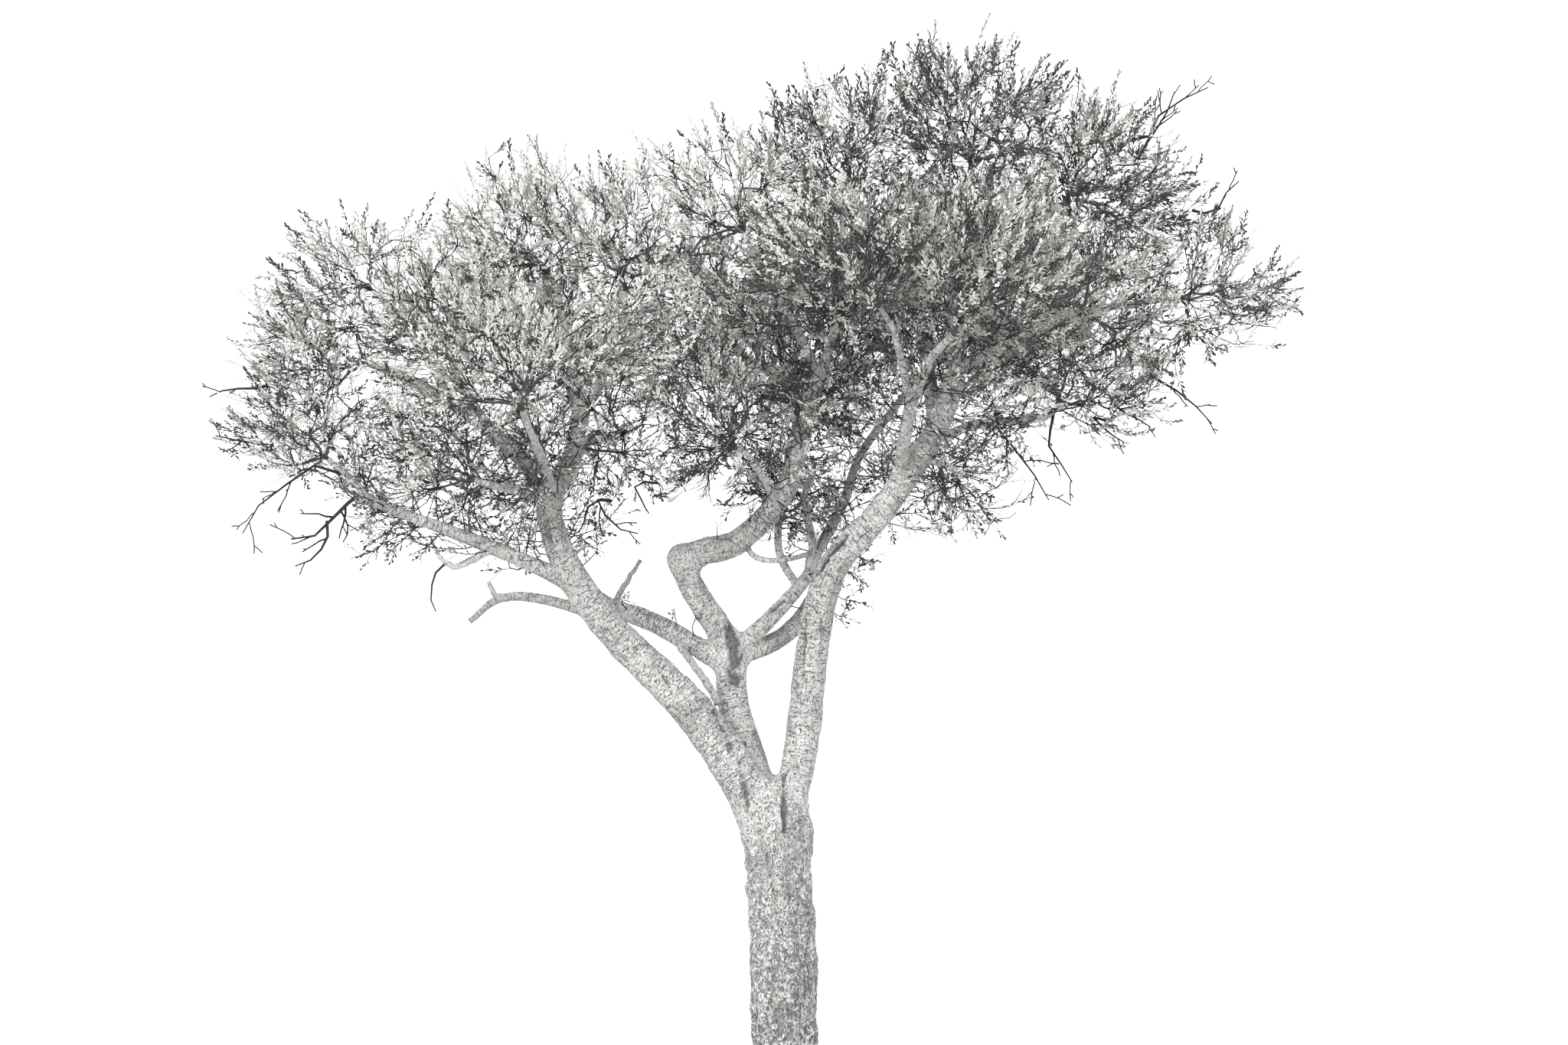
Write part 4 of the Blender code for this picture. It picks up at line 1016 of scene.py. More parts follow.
@dataclass(frozen=True)
class Hollow:
    """A split in the bark, along a straight line on the surface: sunk, and darkened with painted shade.
    """

    start: Triple
    end: Triple
    half_width: float
    # how dark the painted shade in the split is
    shade: float

    def depth(self, points: Array) -> Array:
        """How deep in the split points lie, from 0 to 1.

        Args:
            points: places, as rows.

        Returns:
            A depth for each.
        """
        round_trip = lengths_of(points - self.start) + lengths_of(points - self.end)
        near = round_trip < math.dist(self.start, self.end) + HOLLOW_NEAR
        near &= points[:, 1] < self.start[1] + HOLLOW_FAR_SIDE
        found = np.zeros(len(points))
        if near.any():
            points = points[near]
            way = np.subtract(self.end, self.start)
            share = np.clip((points - self.start) @ way / (way @ way), 0, 1)
            gap = lengths_of((points - self.start - share[:, None] * way) * HOLLOW_VIEW)
            ragged = 1.0
            for seed, (share, size) in enumerate(HOLLOW_RAGS, start=BARK_SEED):
                ragged = ragged + share * waves(points / size, seed)
            found[near] = eased(ragged - gap / self.half_width, 0.0, HOLLOW_EDGE)
        return found


# Splits in the bark, each sunk a little and darkened with painted shade
HOLLOWS = [Hollow(*row) for row in (
    ((-0.37, -0.05, 5.06), (-0.35, -0.05, 4.7), 0.062, 0.85),
    ((-0.3, -0.02, 5.06), (-0.02, 0.02, 5.27), 0.022, 0.85),
    ((-0.02, 0.02, 5.27), (0.11, 0.1, 5.43), 0.02, 0.85),
    ((0.12, -0.15, 4.7), (0.14, -0.18, 5.2), 0.014, 0.7),
    ((0.17, -0.2, 5.38), (0.3, -0.26, 5.56), 0.024, 0.95),
    ((0.3, -0.26, 5.56), (0.42, -0.3, 5.7), 0.03, 0.95),
    ((-0.5, -0.12, 4.45), (-0.33, -0.12, 4.1), 0.034, 0.8),
    ((-0.33, -0.12, 4.1), (-0.27, -0.15, 3.8), 0.026, 0.8),
    ((-0.02, -0.2, 4.02), (-0.01, -0.24, 3.62), 0.028, 0.85),
    ((-0.48, -0.1, 5.23), (-0.43, -0.1, 5.16), 0.016, 0.85),
    ((0.52, -0.3, 5.86), (0.55, -0.32, 5.9), 0.022, 0.95),
    ((-0.86, -0.25, 4.7), (-0.82, -0.25, 4.62), 0.014, 0.8),
)]


@dataclass
class Wood:
    """The trunk and the boughs as one surface, each limb melted into what carries it."""

    cores: list[Core]
    voxel: float

    def read(self, points: Array, with_bark: bool = False) -> Reading:
        """Reads the rule at points.

        Args:
            points: places, as rows.
            with_bark: whether to work out the bark too.

        Returns:
            The reading, a limb's share growing smoothly where it takes over from another.
        """
        count = len(points)
        level, places = np.full(count, FAR), np.zeros((2, count, 3))
        found = Reading(level, places[0], *np.zeros((4, count)), np.ones(count), places[1])
        for index, core in enumerate(self.cores):
            near = core.near(points)
            level, outward, grain, radius = core.read(points[near])
            share = np.clip(0.5 + 0.5 * (found.level[near] - level) / core.melt, 0, 1)
            kept = 1 - share
            found.level[near] = found.level[near] * kept + level * share
            found.level[near] -= core.melt * share * kept
            found.outward[near] = found.outward[near] * kept[:, None] + outward * share[:, None]
            found.owner[near[share > 0.5]] = index
            found.purity[near] = np.where(share == 1, 1, found.purity[near] * np.abs(2 * share - 1))
            found.grain[near[share > 0.5]] = grain[share > 0.5] + index * GRAIN_APART
            if with_bark:
                height, cavity = core.bark(grain, radius)
                age = core.age(grain, radius)
                rows = (found.height, height), (found.cavity, cavity), (found.age, age)
                for row, value in rows:
                    row[near] = row[near] * kept + value * share
        found.outward = unit(found.outward)
        return found

    def rough_mesh(self) -> Mesh:
        """The cores' plain tubes, fused into one closed mesh of even faces.

        Returns:
            The mesh.
        """
        facets = Facets()
        for core in self.cores[1:]:
            points, faces = sweep(core.line[None], core.radii[None], SIDES_OF_CORE)
            facets.add(points, faces, [0, 0])
        trunk = self.cores[0]
        heights = np.linspace(0.0, sum(FORK_FILL) - TOP_GAP, TRUNK_ROWS)
        angles = np.linspace(0, 2 * math.pi, TRUNK_SIDES, endpoint=False)
        grid = np.meshgrid(heights, angles, indexing="ij")
        centre, half_x, half_y = trunk.outline(*grid)
        shrink = np.sqrt(1 - trunk.lift(grid[0]) ** 2)
        across = centre + half_x * shrink * np.cos(grid[1])
        shape = np.stack([across, half_y * shrink * np.sin(grid[1]), grid[0]], axis=-1)
        _, faces = sweep(shape[None, :, 0], np.ones((1, len(heights))), len(angles))
        facets.add(shape, [block[:, ::-1] for block in faces], [0, 0])
        obj = new_object(facets.mesh("wood_core", smooth=False), [])
        remesh = obj.modifiers.new("fuse", "REMESH")
        remesh.mode = "VOXEL"
        remesh.voxel_size = self.voxel
        bpy.context.view_layer.update()
        shown = obj.evaluated_get(bpy.context.evaluated_depsgraph_get())
        fused = bpy.data.meshes.new_from_object(shown)
        bpy.data.objects.remove(obj)
        return fused

    def surface(self) -> tuple[Array, Array, Reading]:
        """Moves the fused mesh onto the rule's surface and raises the bark.

        Returns:
            The points, the faces as four corners each, and the reading at the points.
        """
        fused = self.rough_mesh()
        points = np.empty(len(fused.vertices) * 3, np.float32)
        fused.vertices.foreach_get("co", points)
        points = points.reshape(-1, 3).astype(float)
        faces = np.empty(len(fused.loops), np.int32)
        fused.loops.foreach_get("vertex_index", faces)
        bpy.data.meshes.remove(fused)
        for _ in range(MOVES):
            found = self.read(points)
            move = np.clip(found.level, -LONGEST_MOVE, LONGEST_MOVE)
            points -= found.outward * move[:, None]
        found = self.read(points, with_bark=True)
        for hollow in HOLLOWS:
            deep = hollow.depth(points)
            found.height -= HOLLOW_DEPTH * deep
            # Painted shade in the split, past 1, so that the finish darkens it beyond the grooves
            found.cavity = np.maximum(found.cavity, (1 + hollow.shade) * deep)
        on_cut = (points[:, 2] < self.voxel) & (found.outward[:, 2] < FACES_DOWN)
        points += found.outward * np.where(on_cut, 0, found.height)[:, None]
        points[on_cut | (points[:, 2] < 0), 2] = 0.0
        return points, faces.reshape(-1, 4), found


# ---- the wood's pieces
class Part(Enum):
    """The pieces that the wood's surface is parted into, by the limb that they belong to."""

    TRUNK = "trunk"
    LEFT = "left_limb"
    RIGHT = "right_limb"
    MIDDLE = "middle_stem"
    DEAD = "dead_limb"

    @property
    def nodes(self) -> list[str]:
        """The solids that the piece stands for.

        Returns:
            Their names.
        """
        if self in (Part.TRUNK, Part.DEAD):
            return [self.value]
        own = [name for name in LIMBS if fork_limb(name) == self.value]
        return [name for name in own if name != Part.DEAD.value]

    @property
    def piece(self) -> str:
        """The piece's name."""
        return f"{self.value}_bark" if len(self.nodes) == 1 else f"{self.value}_and_boughs_bark"


@dataclass
class Timber:
    """The trunk and boughs with the bark's relief, in closed pieces."""

    finishes: dict[Part, Material]
    slots: dict[Part, str]
    voxel: float

    def cores(self) -> list[Core]:
        """The trunk and every limb, those that carry foliage lengthened by its stem.

        Returns:
            The centre lines, the trunk's first.
        """
        trunk = np.array([[0.0, 0.0, 0.0], [0.0, 0.0, TRUNK[-1].height]])
        made = [TrunkCore("trunk", trunk, np.full(2, TRUNK_FLARE), BARK_SEED)]
        for index, name in enumerate(LIMBS, start=1):
            line = limb_route(name, LINE_STEP)
            radii = limb_radii(name, len(line))
            stem = [mass for mass in MASSES if MASSES[mass].carrier == name]
            if stem:
                more = smooth_route(stem_line(stem[0]), LINE_STEP)[1:]
                ends = np.array(STEM_ENDS) * radii[-1]
                thinner = np.interp(np.arange(len(more)), [0, len(more) - 1], ends)
                line, radii = np.vstack([line, more]), np.concatenate([radii, thinner])
            made.append(Core(name, line, radii, BARK_SEED + 20 * index))
        return made

    def build(self) -> None:
        """Makes the surface and parts it."""
        wood = Wood(self.cores(), self.voxel)
        points, faces, found = wood.surface()
        LOG.info("wood surface of %d faces", len(faces))
        facets = Facets()
        facets.add(points, [faces], [0])
        whole = facets.mesh("whole_wood", smooth=True)
        normals = np.empty(len(points) * 3, np.float32)
        whole.vertex_normals.foreach_get("vector", normals)
        bpy.data.meshes.remove(whole)
        part_of = {node: index for index, part in enumerate(Part) for node in part.nodes}
        owners = np.array([part_of[core.name] for core in wood.cores])[found.owner.astype(int)]
        owner_of_face = owners[faces[:, 0]]
        for index, part in enumerate(Part):
            self.part(part, points, faces[owner_of_face == index], normals.reshape(-1, 3), found)

    def part(self, part: Part, points: Array, faces: Array, normals: Array, found: Reading) -> None:
        """Makes one piece, closed across the wood where it meets its neighbours.

        Args:
            part: which one.
            points: the whole surface's points.
            faces: the piece's faces.
            normals: the surface's way out at each point.
            found: the rule's reading at each point.
        """
        used, faces = np.unique(faces, return_inverse=True)
        faces = faces.reshape(-1, 4)
        caps, middles = cap_rims(points[used], faces)
        facets = Facets()
        facets.add(np.vstack([points[used], middles]), [faces, caps], [0, 0])
        mesh = facets.mesh(part.piece, smooth=True)
        ends = np.tile(UP, (len(middles), 1))
        mesh.normals_split_custom_set_from_vertices(np.vstack([normals[used], ends]).tolist())
        # The first attribute carries the painted shade of the bark's grooves, cracks, pits and splits to
        # its finish
        for name, row in (("cavity", found.cavity), ("age", found.age), ("purity", found.purity)):
            layer = mesh.attributes.new(name, "FLOAT", "POINT")
            values = np.concatenate([row[used], np.zeros(len(middles))])
            layer.data.foreach_set("value", values.astype(np.float32))
        layer = mesh.attributes.new("grain", "FLOAT_VECTOR", "POINT")
        values = np.vstack([found.grain[used], middles])
        layer.data.foreach_set("vector", values.astype(np.float32).ravel())
        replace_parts(new_piece(mesh, [self.finishes[part]]), *part.nodes)


def cap_rims(points: Array, faces: Array) -> tuple[Array, Array]:
    """Closes a mesh's open rims, each by a fan to its middle.

    Args:
        points: the mesh's points.
        faces: its faces, four corners each.

    Returns:
        The fans' faces, and the middles, which are numbered on from the points.
    """
    edges = np.stack([faces, np.roll(faces, -1, axis=1)], axis=-1).reshape(-1, 2)
    size = len(points)
    forth = edges[:, 0].astype(np.int64) * size + edges[:, 1]
    back = edges[:, 1].astype(np.int64) * size + edges[:, 0]
    rim = edges[~np.isin(forth, back)]
    after = {}
    for a, b in rim.tolist():
        after.setdefault(a, []).append(b)
    fans, middles = [], []
    while after:
        start = next(iter(after))
        loop = [start]
        while loop[-1] in after:
            here = loop[-1]
            loop.append(after[here].pop())
            if not after[here]:
                del after[here]
        centre = size + len(middles)
        middles.append(points[loop[:-1]].mean(0))
        fans += [(b, a, centre) for a, b in zip(loop, loop[1:])]
    return np.array(fans or np.zeros((0, 3)), int), np.array(middles).reshape(-1, 3)


# ---- spaces
@dataclass
class Space:
    """The room that one mass keeps to: a rounded body, walled off from its neighbours."""

    centre: Array
    half_widths: Array
    normals: Array = field(default_factory=lambda: np.zeros((0, 3)))
    offsets: Array = field(default_factory=lambda: np.zeros(0))

    def depth(self, points: Array) -> Array:
        """How far out points lie: 0 at the centre and 1 on the rounded body's surface."""
        return lengths_of((points - self.centre) / self.half_widths)

    def height(self, points: Array) -> Array:
        """How high points lie: 0 at the centre and 1 on the top of the rounded body."""
        return (points[:, 2] - self.centre[2]) / self.half_widths[2]

    def add_wall(self, other: Space) -> None:
        """Adds a flat wall between two centres, nearer to the smaller body's.

        Args:
            other: the space beyond it.
        """
        way = other.centre - self.centre
        own, others = 1 / self.depth(other.centre), 1 / other.depth(self.centre)
        normal = unit(way)
        offset = (self.centre + way * own / (own + others)) @ normal
        self.normals = np.vstack([self.normals, normal])
        self.offsets = np.append(self.offsets, offset)

    def holds(self, points: Array, clearance: float = 0.0) -> Array:
        """Which points are inside the walls."""
        return (points @ self.normals.T < self.offsets - clearance).all(-1)


def make_spaces() -> dict[str, Space]:
    """The space of each mass, walled off from all the others.

    Returns:
        The spaces, by their masses' names.
    """
    spaces = {}
    for name, mass in MASSES.items():
        spaces[name] = Space(np.array(mass.centre), np.array(mass.half_widths))
    for name, space in spaces.items():
        for other_name, other in spaces.items():
            if other_name != name:
                space.add_wall(other)
    return spaces


SPACES: dict[str, Space] = {}
FILLINGS = [Space(np.array(centre), np.array(half_widths)) for centre, half_widths in FULLER_PLACES]


def fullness(points: Array) -> Array:
    """How full the crown is at points: 1 in the middle of a lone mass, more among several.

    Args:
        points: places, as rows.

    Returns:
        The fullness, a little uneven from place to place, so that the outline is in lobes.
    """
    bodies = [*SPACES.values(), *FILLINGS]
    total = sum(np.exp(-SOFTNESS * body.depth(points) ** 2) for body in bodies)
    return total * (1 + LOBES * waves(points / LOBE_SIZE, BARK_SEED))


def stem_line(name: str) -> Array:
    """A mass's stem: straight on from its bough's tip, then on into its space.

    Args:
        name: the mass.

    Returns:
        Three points.
    """
    SPACES.update(SPACES or make_spaces())
    rings = limb_route(MASSES[name].carrier, RING_STEP)
    straight = rings[-1] + unit(rings[-1] - rings[-2]) * STEM_LENGTH
    space = SPACES[name]
    share = HUB_SHARE
    while not space.holds(straight + (space.centre - straight) * share, HUB_CLEARANCE):
        share += HUB_STEP
    return np.array([rings[-1], straight, straight + (space.centre - straight) * share])


@dataclass
class WoodMap:
    """A grid of the cells that limbs fill, to keep twigs and leaves out of them."""

    low: Array
    cells: Array

    @classmethod
    def of(cls, cores: list[Core], low: Vector, high: Vector) -> WoodMap:
        """The map of the cores inside a box.

        Args:
            cores: the trunk's and the limbs' centre lines.
            low: the box's lowest corner.
            high: its highest corner.

        Returns:
            The map.
        """
        corner = np.array(low) - MAP_MARGIN
        size = ((np.array(high) - corner + MAP_MARGIN) / WOOD_GRAIN).astype(int) + 1
        made = cls(corner, np.zeros(tuple(size), np.int16))
        for index, core in enumerate(cores[1:], start=1):
            count = max(2, math.ceil(way_along(core.line)[-1] / WOOD_GRAIN))
            shares = np.linspace(0, 1, count)
            radii = np.interp(shares, np.linspace(0, 1, len(core.radii)), core.radii)
            for place, radius in zip(points_at(core.line, shares), radii):
                made.fill(place, radius + WOOD_CLEARANCE, index)
        return made

    def fill(self, place: Array, radius: float, index: int) -> None:
        """Marks the cells of one ball.

        Args:
            place: its middle.
            radius: its radius.
            index: the limb's number.
        """
        first = np.floor((place - radius - self.low) / WOOD_GRAIN).astype(int)
        last = np.ceil((place + radius - self.low) / WOOD_GRAIN).astype(int) + 1
        ranges = [np.arange(a, b) for a, b in zip(first, last)]
        grid = np.stack(np.meshgrid(*ranges, indexing="ij"), axis=-1)
        gaps = lengths_of(self.low + (grid + 0.5) * WOOD_GRAIN - place)
        inside = grid[gaps < radius]
        self.cells[tuple(inside.T)] = index

    def owner(self, points: Array) -> Array:
        """Which limb fills each point's cell, or 0."""
        cells = np.clip((points - self.low) / WOOD_GRAIN, 0, np.array(self.cells.shape) - 1).astype(int)
        return self.cells[tuple(np.moveaxis(cells, -1, 0))]


# ---- the twigs' rule
@dataclass
class Twigs:
    """The twigs of one mass as rows: where each ends, and which row it grows from."""

    points: Array
    headings: Array
    paths: Array
    parents: Array
    tips: Array
    count: int = 1

    @classmethod
    def from_hub(cls, stem: Array, room: int) -> Twigs:
        """The rows for a mass, the first being the end of its stem.

        Args:
            stem: the stem's points.
            room: how many rows may follow.

        Returns:
            The rows.
        """
        rows = room + 1
        places = np.zeros((2, rows, 3))
        made = cls(*places, np.zeros(rows), np.full(rows, -1), np.zeros(rows, int))
        made.points[0] = stem[-1]
        made.headings[0] = unit(stem[-1] - stem[-2])
        return made

    def join(self, target: Array, space: Space, wood: WoodMap, own: int) -> bool:
        """Joins a target to the twig that costs least: the gap plus a share of the way back.

        Args:
            target: where the new twig ends.
            space: the mass's space, whose walls the twig keeps inside.
            wood: the limbs, which the twig keeps clear of.
            own: the limb that carries the mass.

        Returns:
            Whether a clear way was found.
        """
        ways = target - self.points[: self.count]
        gaps = lengths_of(ways)
        leads_on = (ways * self.headings[: self.count]).sum(1) > LEAST_TURN * gaps
        costs = gaps + PATH_PULL * self.paths[: self.count]
        costs[~leads_on | (gaps <= SHORTEST_TWIG)] = math.inf
        for row in np.argsort(costs)[:CANDIDATES]:
            if costs[row] == math.inf:
                return False
            line = self.points[row] + ways[row] * WAY_TESTS[:, None]
            owners = wood.owner(line)
            if space.holds(line).all() and ((owners == 0) | (owners == own)).all():
                self.points[self.count] = target
                self.headings[self.count] = unit(ways[row])
                self.paths[self.count] = self.paths[row] + gaps[row]
                self.parents[self.count] = row
                self.count += 1
                return True
        return False

    def settle(self) -> None:
        """Drops the unused rows and counts the tips that each twig feeds."""
        for name in ("points", "headings", "paths", "parents", "tips"):
            setattr(self, name, getattr(self, name)[: self.count])
        is_parent = np.isin(np.arange(self.count), self.parents)
        for row in np.flatnonzero(~is_parent):
            while row >= 0:
                self.tips[row] += 1
                row = self.parents[row]

    def radii(self) -> Array:
        """The pipe rule: a twig is thicker the more tips it feeds."""
        return TWIG_RADIUS * np.maximum(self.tips, 1) ** PIPE_POWER

    def lines(self, rng: Rng) -> Array:
        """Each twig's line, which leaves along its parent and bends to its own way.

        Args:
            rng: gives the random draws.

        Returns:
            Points by twig and place along it.
        """
        ends = self.points[1:]
        starts = self.points[self.parents[1:]]
        reach = lengths_of(ends - starts)[:, None] * TWIG_BEND
        first = starts + self.headings[self.parents[1:]] * reach
        last = ends - self.headings[1:] * reach
        t = np.linspace(0, 1, TWIG_KNOTS)[:, None]
        lines = (
            starts[:, None] * (1 - t) ** 3
            + first[:, None] * 3 * t * (1 - t) ** 2
            + last[:, None] * 3 * t**2 * (1 - t)
            + ends[:, None] * t**3
        )
        wander = rng.normal(0, 1, lines.shape) * reach[:, None] / TWIG_BEND * TWIG_WANDER
        wander[:, [0, -1]] = 0
        return lines + wander


def scatter(space: Space, mass: Mass, taken: Array, rng: Rng) -> Array:
    """Seeded ends for twigs, as dense as the crown is full, after those already taken.

    Args:
        space: the mass's space.
        mass: its plan.
        taken: ends that it has already.
        rng: gives the random draws.

    Returns:
        The ends, those taken first.
    """
    volume = 4 / 3 * math.pi * space.half_widths.prod() * TWIG_DEPTHS[1] ** 3
    ways = unit(rng.normal(size=(int(TIPS_PER_METRE * volume), 3)))
    depths = rng.uniform(0, 1, len(ways)) ** (1 / 3) * TWIG_DEPTHS[1]
    places = space.centre + ways * space.half_widths * depths[:, None]
    chance = share_between(fullness(places), *FULLNESS_OF_TWIGS)
    chance *= 1 - mass.crest * np.clip(space.height(places) + CREST_START, 0, 1)
    fits = space.holds(places, TIP_CLEARANCE) & (depths > TWIG_DEPTHS[0])
    places = places[fits & (rng.random(len(depths)) < chance)]
    found = list(taken)
    for place in places:
        if not found or lengths_of(np.array(found) - place).min() > TIP_SPACING:
            found.append(place)
    return np.array(found)


# ---- shoots and leaves
class LeafLight(Enum):
    """The leaf colours that leafy shoots are dealt, as painted light and shade: the lit copy first."""

    PALE = 0
    MIDDLE = 1
    DEEP = 2


@dataclass
class Shoots:
    """Leafy shoots as rows: thin straight stems that the leaves stand along."""

    roots: Array
    ways: Array
    lengths: Array
    bare: Array  # the share of its length before the first leaf
    radii: Array

    @classmethod
    def joined(cls, several: list[Shoots]) -> Shoots:
        """Several sets of shoots as one."""
        rows = zip(*(astuple(shoots) for shoots in several))
        return cls(*(np.concatenate(row) for row in rows))

    def kept(self, which: Array) -> Shoots:
        """Only the shoots that are asked for."""
        return Shoots(*(row[which] for row in astuple(self)))

    def ends(self) -> Array:
        """Where the shoots end."""
        return self.roots + self.ways * self.lengths[:, None]

    def lines(self, rng: Rng) -> Array:
        """Each shoot's line, bent a little.

        Args:
            rng: gives the random draws.

        Returns:
            Points by shoot and place along it.
        """
        shares = np.linspace(0, 1, SHOOT_KNOTS)[:, None]
        lines = self.roots[:, None] + self.ways[:, None] * self.lengths[:, None, None] * shares
        bow = rng.normal(0, SHOOT_BOW, self.roots.shape) - UP * SHOOT_CURL
        return lines + (bow * self.lengths[:, None])[:, None] * 4 * shares * (1 - shares)

    def leaves(self, lines: Array, tints: Array, steps: Array, rng: Rng) -> tuple[Array, ...]:
        """Where leaves stand, and which way, along the shoots.

        Args:
            lines: the shoots' bent lines.
            tints: each shoot's leaf colour of painted light and shade.
            steps: the distance between two leaves on each shoot.
            rng: gives the random draws.

        Returns:
            Each leaf's foot, way, upper side and leaf colour of painted light and shade.
        """
        spans = lines.shape[1] - 1
        counts = (self.lengths * (1 - self.bare) / steps).astype(int)
        rows = np.repeat(np.arange(len(counts)), counts)
        order = np.arange(counts.sum()) - np.repeat(np.cumsum(counts) - counts, counts)
        share = self.bare[rows] + (1 - self.bare[rows]) * (order + 1) / counts[rows]
        knot = np.minimum((share * spans).astype(int), spans - 1)
        step = lines[rows, knot + 1] - lines[rows, knot]
        foot = lines[rows, knot] + step * (share * spans - knot)[:, None]
        way = unit(step)
        across = unit(np.cross(way, np.where(np.abs(way[:, 2:]) < STEEP_LEAF, UP, ACROSS)))
        other = np.cross(way, across)
        turn = order * GOLDEN_TURN + np.repeat(rng.uniform(0, 2 * math.pi, len(counts)), counts)
        turn += rng.normal(0, LEAF_STRAYS[0], len(turn))
        round_way = across * np.cos(turn)[:, None] + other * np.sin(turn)[:, None]
        angle = rng.uniform(*LEAF_ANGLES, len(turn))
        angle *= np.clip(LEAF_CLOSING[0] - share, LEAF_CLOSING[1], 1)
        leaf_way = way * np.cos(angle)[:, None] + round_way * np.sin(angle)[:, None]
        upper = way * np.sin(angle)[:, None] - round_way * np.cos(angle)[:, None]
        upper = unit(upper + rng.normal(0, LEAF_STRAYS[1], upper.shape))
        return foot, unit(leaf_way), upper, tints[rows]


@dataclass
class Branchlets:
    """Forked twigs as rows of stems: each one's line, radii and share with no leaf."""

    rng: Rng
    step: float = PRONG_STEP  # between two prongs
    thin: float = PRONG_RADIUS  # at a prong's tip
    lines: list[Array] = field(default_factory=list)
    radii: list[Array] = field(default_factory=list)
    bare: list[float] = field(default_factory=list)

    def add_stem(self, course: list[Triple] | Array, radii: Pair, bare: float) -> None:
        """Adds one stem along a smooth line through the given points.

        Args:
            course: the points.
            radii: at its root and tip.
            bare: the share of it with no leaf.
        """
        line = points_at(smooth_route(course, TWIG_ROUTE_STEP), np.linspace(0, 1, BRANCHLET_KNOTS))
        line[1:-1] += self.rng.normal(0, BRANCHLET_WANDER * way_along(line)[-1], line[1:-1].shape)
        self.lines.append(line)
        self.radii.append(np.linspace(*radii, BRANCHLET_KNOTS))
        self.bare.append(bare)

    def add(self, course: list[Triple] | Array, radii: Pair, clear: float, leafy: float) -> None:
        """Adds a forked twig: its stem, prongs left and right in turn, and the prongs' own prongs.

        Args:
            course: points that the stem passes through.
            radii: the stem's radii at its root and tip.
            clear: the length at its root that has no prong.
            leafy: the share of its prongs that carry leaves.
        """
        parents = [len(self.lines)]
        self.add_stem(course, radii, 1.0 if leafy == 0 else STEM_BARE)
        for reach in PRONG_REACHES:
            first = len(self.lines)
            for parent in parents:
                self.add_prongs(parent, clear, reach, leafy)
            parents = list(range(first, len(self.lines)))
            clear = 0.0

    def add_prongs(self, parent: int, clear: float, reach: float, leafy: float) -> None:
        """Adds the prongs of one stem, each up to a share of its length long.

        Args:
            parent: the stem's number.
            clear: the length at its root that has no prong.
            reach: that share.
            leafy: the share of the prongs that carry leaves.
        """
        line, radii = self.lines[parent], self.radii[parent]
        length = way_along(line)[-1]
        count = int((length - clear) / self.step)
        turn = self.rng.uniform(0, 2 * math.pi)
        for index in range(count):
            along = (index + self.rng.uniform(*PRONG_PLACES)) / count
            share = (clear + (length - clear) * along) / length
            foot = points_at(line, np.array([share]))[0]
            knot = min(int(share * (BRANCHLET_KNOTS - 1)), BRANCHLET_KNOTS - 2)
            way = unit(line[knot + 1] - line[knot])
            across = unit(np.cross(way, UP + SMALL_TILT))
            angle = turn + math.pi * index + self.rng.normal(0, PRONG_STRAY)
            aside = across * math.cos(angle) + np.cross(way, across) * math.sin(angle)
            size = self.rng.uniform(*PRONG_SIZES) * reach * length
            size = min(size * (PRONG_SHRINK[0] - PRONG_SHRINK[1] * share), LONGEST_PRONG)
            heading = unit(way + aside * self.rng.uniform(*PRONG_SPLAYS))
            middle = foot + heading * size * 0.5 + aside * size * PRONG_ARC
            root = PRONG_ROOT * float(np.interp(share, np.linspace(0, 1, len(radii)), radii))
            bare = self.rng.uniform(*BARE_STARTS) if self.rng.random() < leafy else 1.0
            course = [foot, middle, foot + heading * size]
            self.add_stem(course, (max(root, self.thin), self.thin), bare)

    def wood(self, facets: Facets, tint: int) -> None:
        """Adds the stems' tubes to a mesh, in the material of that number."""
        if self.lines:
            facets.add(*sweep(np.array(self.lines), np.array(self.radii), SHOOT_SIDES), [tint, tint])

    def shoots(self) -> Shoots:
        """The stems as shoots, to stand leaves along.

        Returns:
            One shoot for each stem.
        """
        lines = np.array(self.lines)
        spans = lines[:, -1] - lines[:, 0]
        bare, radii = np.array(self.bare), np.array(self.radii)[:, 0]
        return Shoots(lines[:, 0], unit(spans), lengths_of(spans), bare, radii)


def leaf_mesh(name: str, feet: Array, ways: Array, uppers: Array, tints: Array, rng: Rng) -> Mesh:
    """The mesh of many leaves: each a small blade, widest near its tip and folded on its rib.

    Args:
        name: its name.
        feet: the leaves' feet.
        ways: which way they point.
        uppers: their upper sides.
        tints: their leaf colours of painted light and shade.
        rng: gives the random draws.

    Returns:
        The mesh.
    """
    lengths = rng.uniform(*LEAF_LENGTHS, len(feet))[:, None]
    across = unit(np.cross(ways, uppers))
    upper = np.cross(across, ways)
    outline = [feet]
    for side in (1, -1):
        corners = []
        for share, half in zip(LEAF_SHARES, LEAF_HALVES):
            wide = half * LEAF_WIDTH / 2 * lengths
            aside = (across * side + upper * LEAF_FOLD) * wide
            corners.append(feet + ways * share * lengths + aside)
        outline += corners if side == 1 else [feet + ways * lengths, *corners[::-1]]
    points = np.stack(outline, axis=1)
    first = np.arange(len(feet))[:, None] * 6
    halves = np.concatenate([first + np.array([0, 1, 2, 3]), first + np.array([0, 3, 4, 5])])
    facets = Facets()
    facets.add(points, [halves], [np.concatenate([tints, tints])])
    return facets.mesh(name, smooth=False)


def leaf_steps(shoots: Shoots) -> Array:
    """The distance between leaves on each shoot: closest at the crown's very edge."""
    inward = share_between(fullness(shoots.ends()), *EDGE_FULLNESS)
    return LEAF_STEPS[0] + (LEAF_STEPS[1] - LEAF_STEPS[0]) * inward


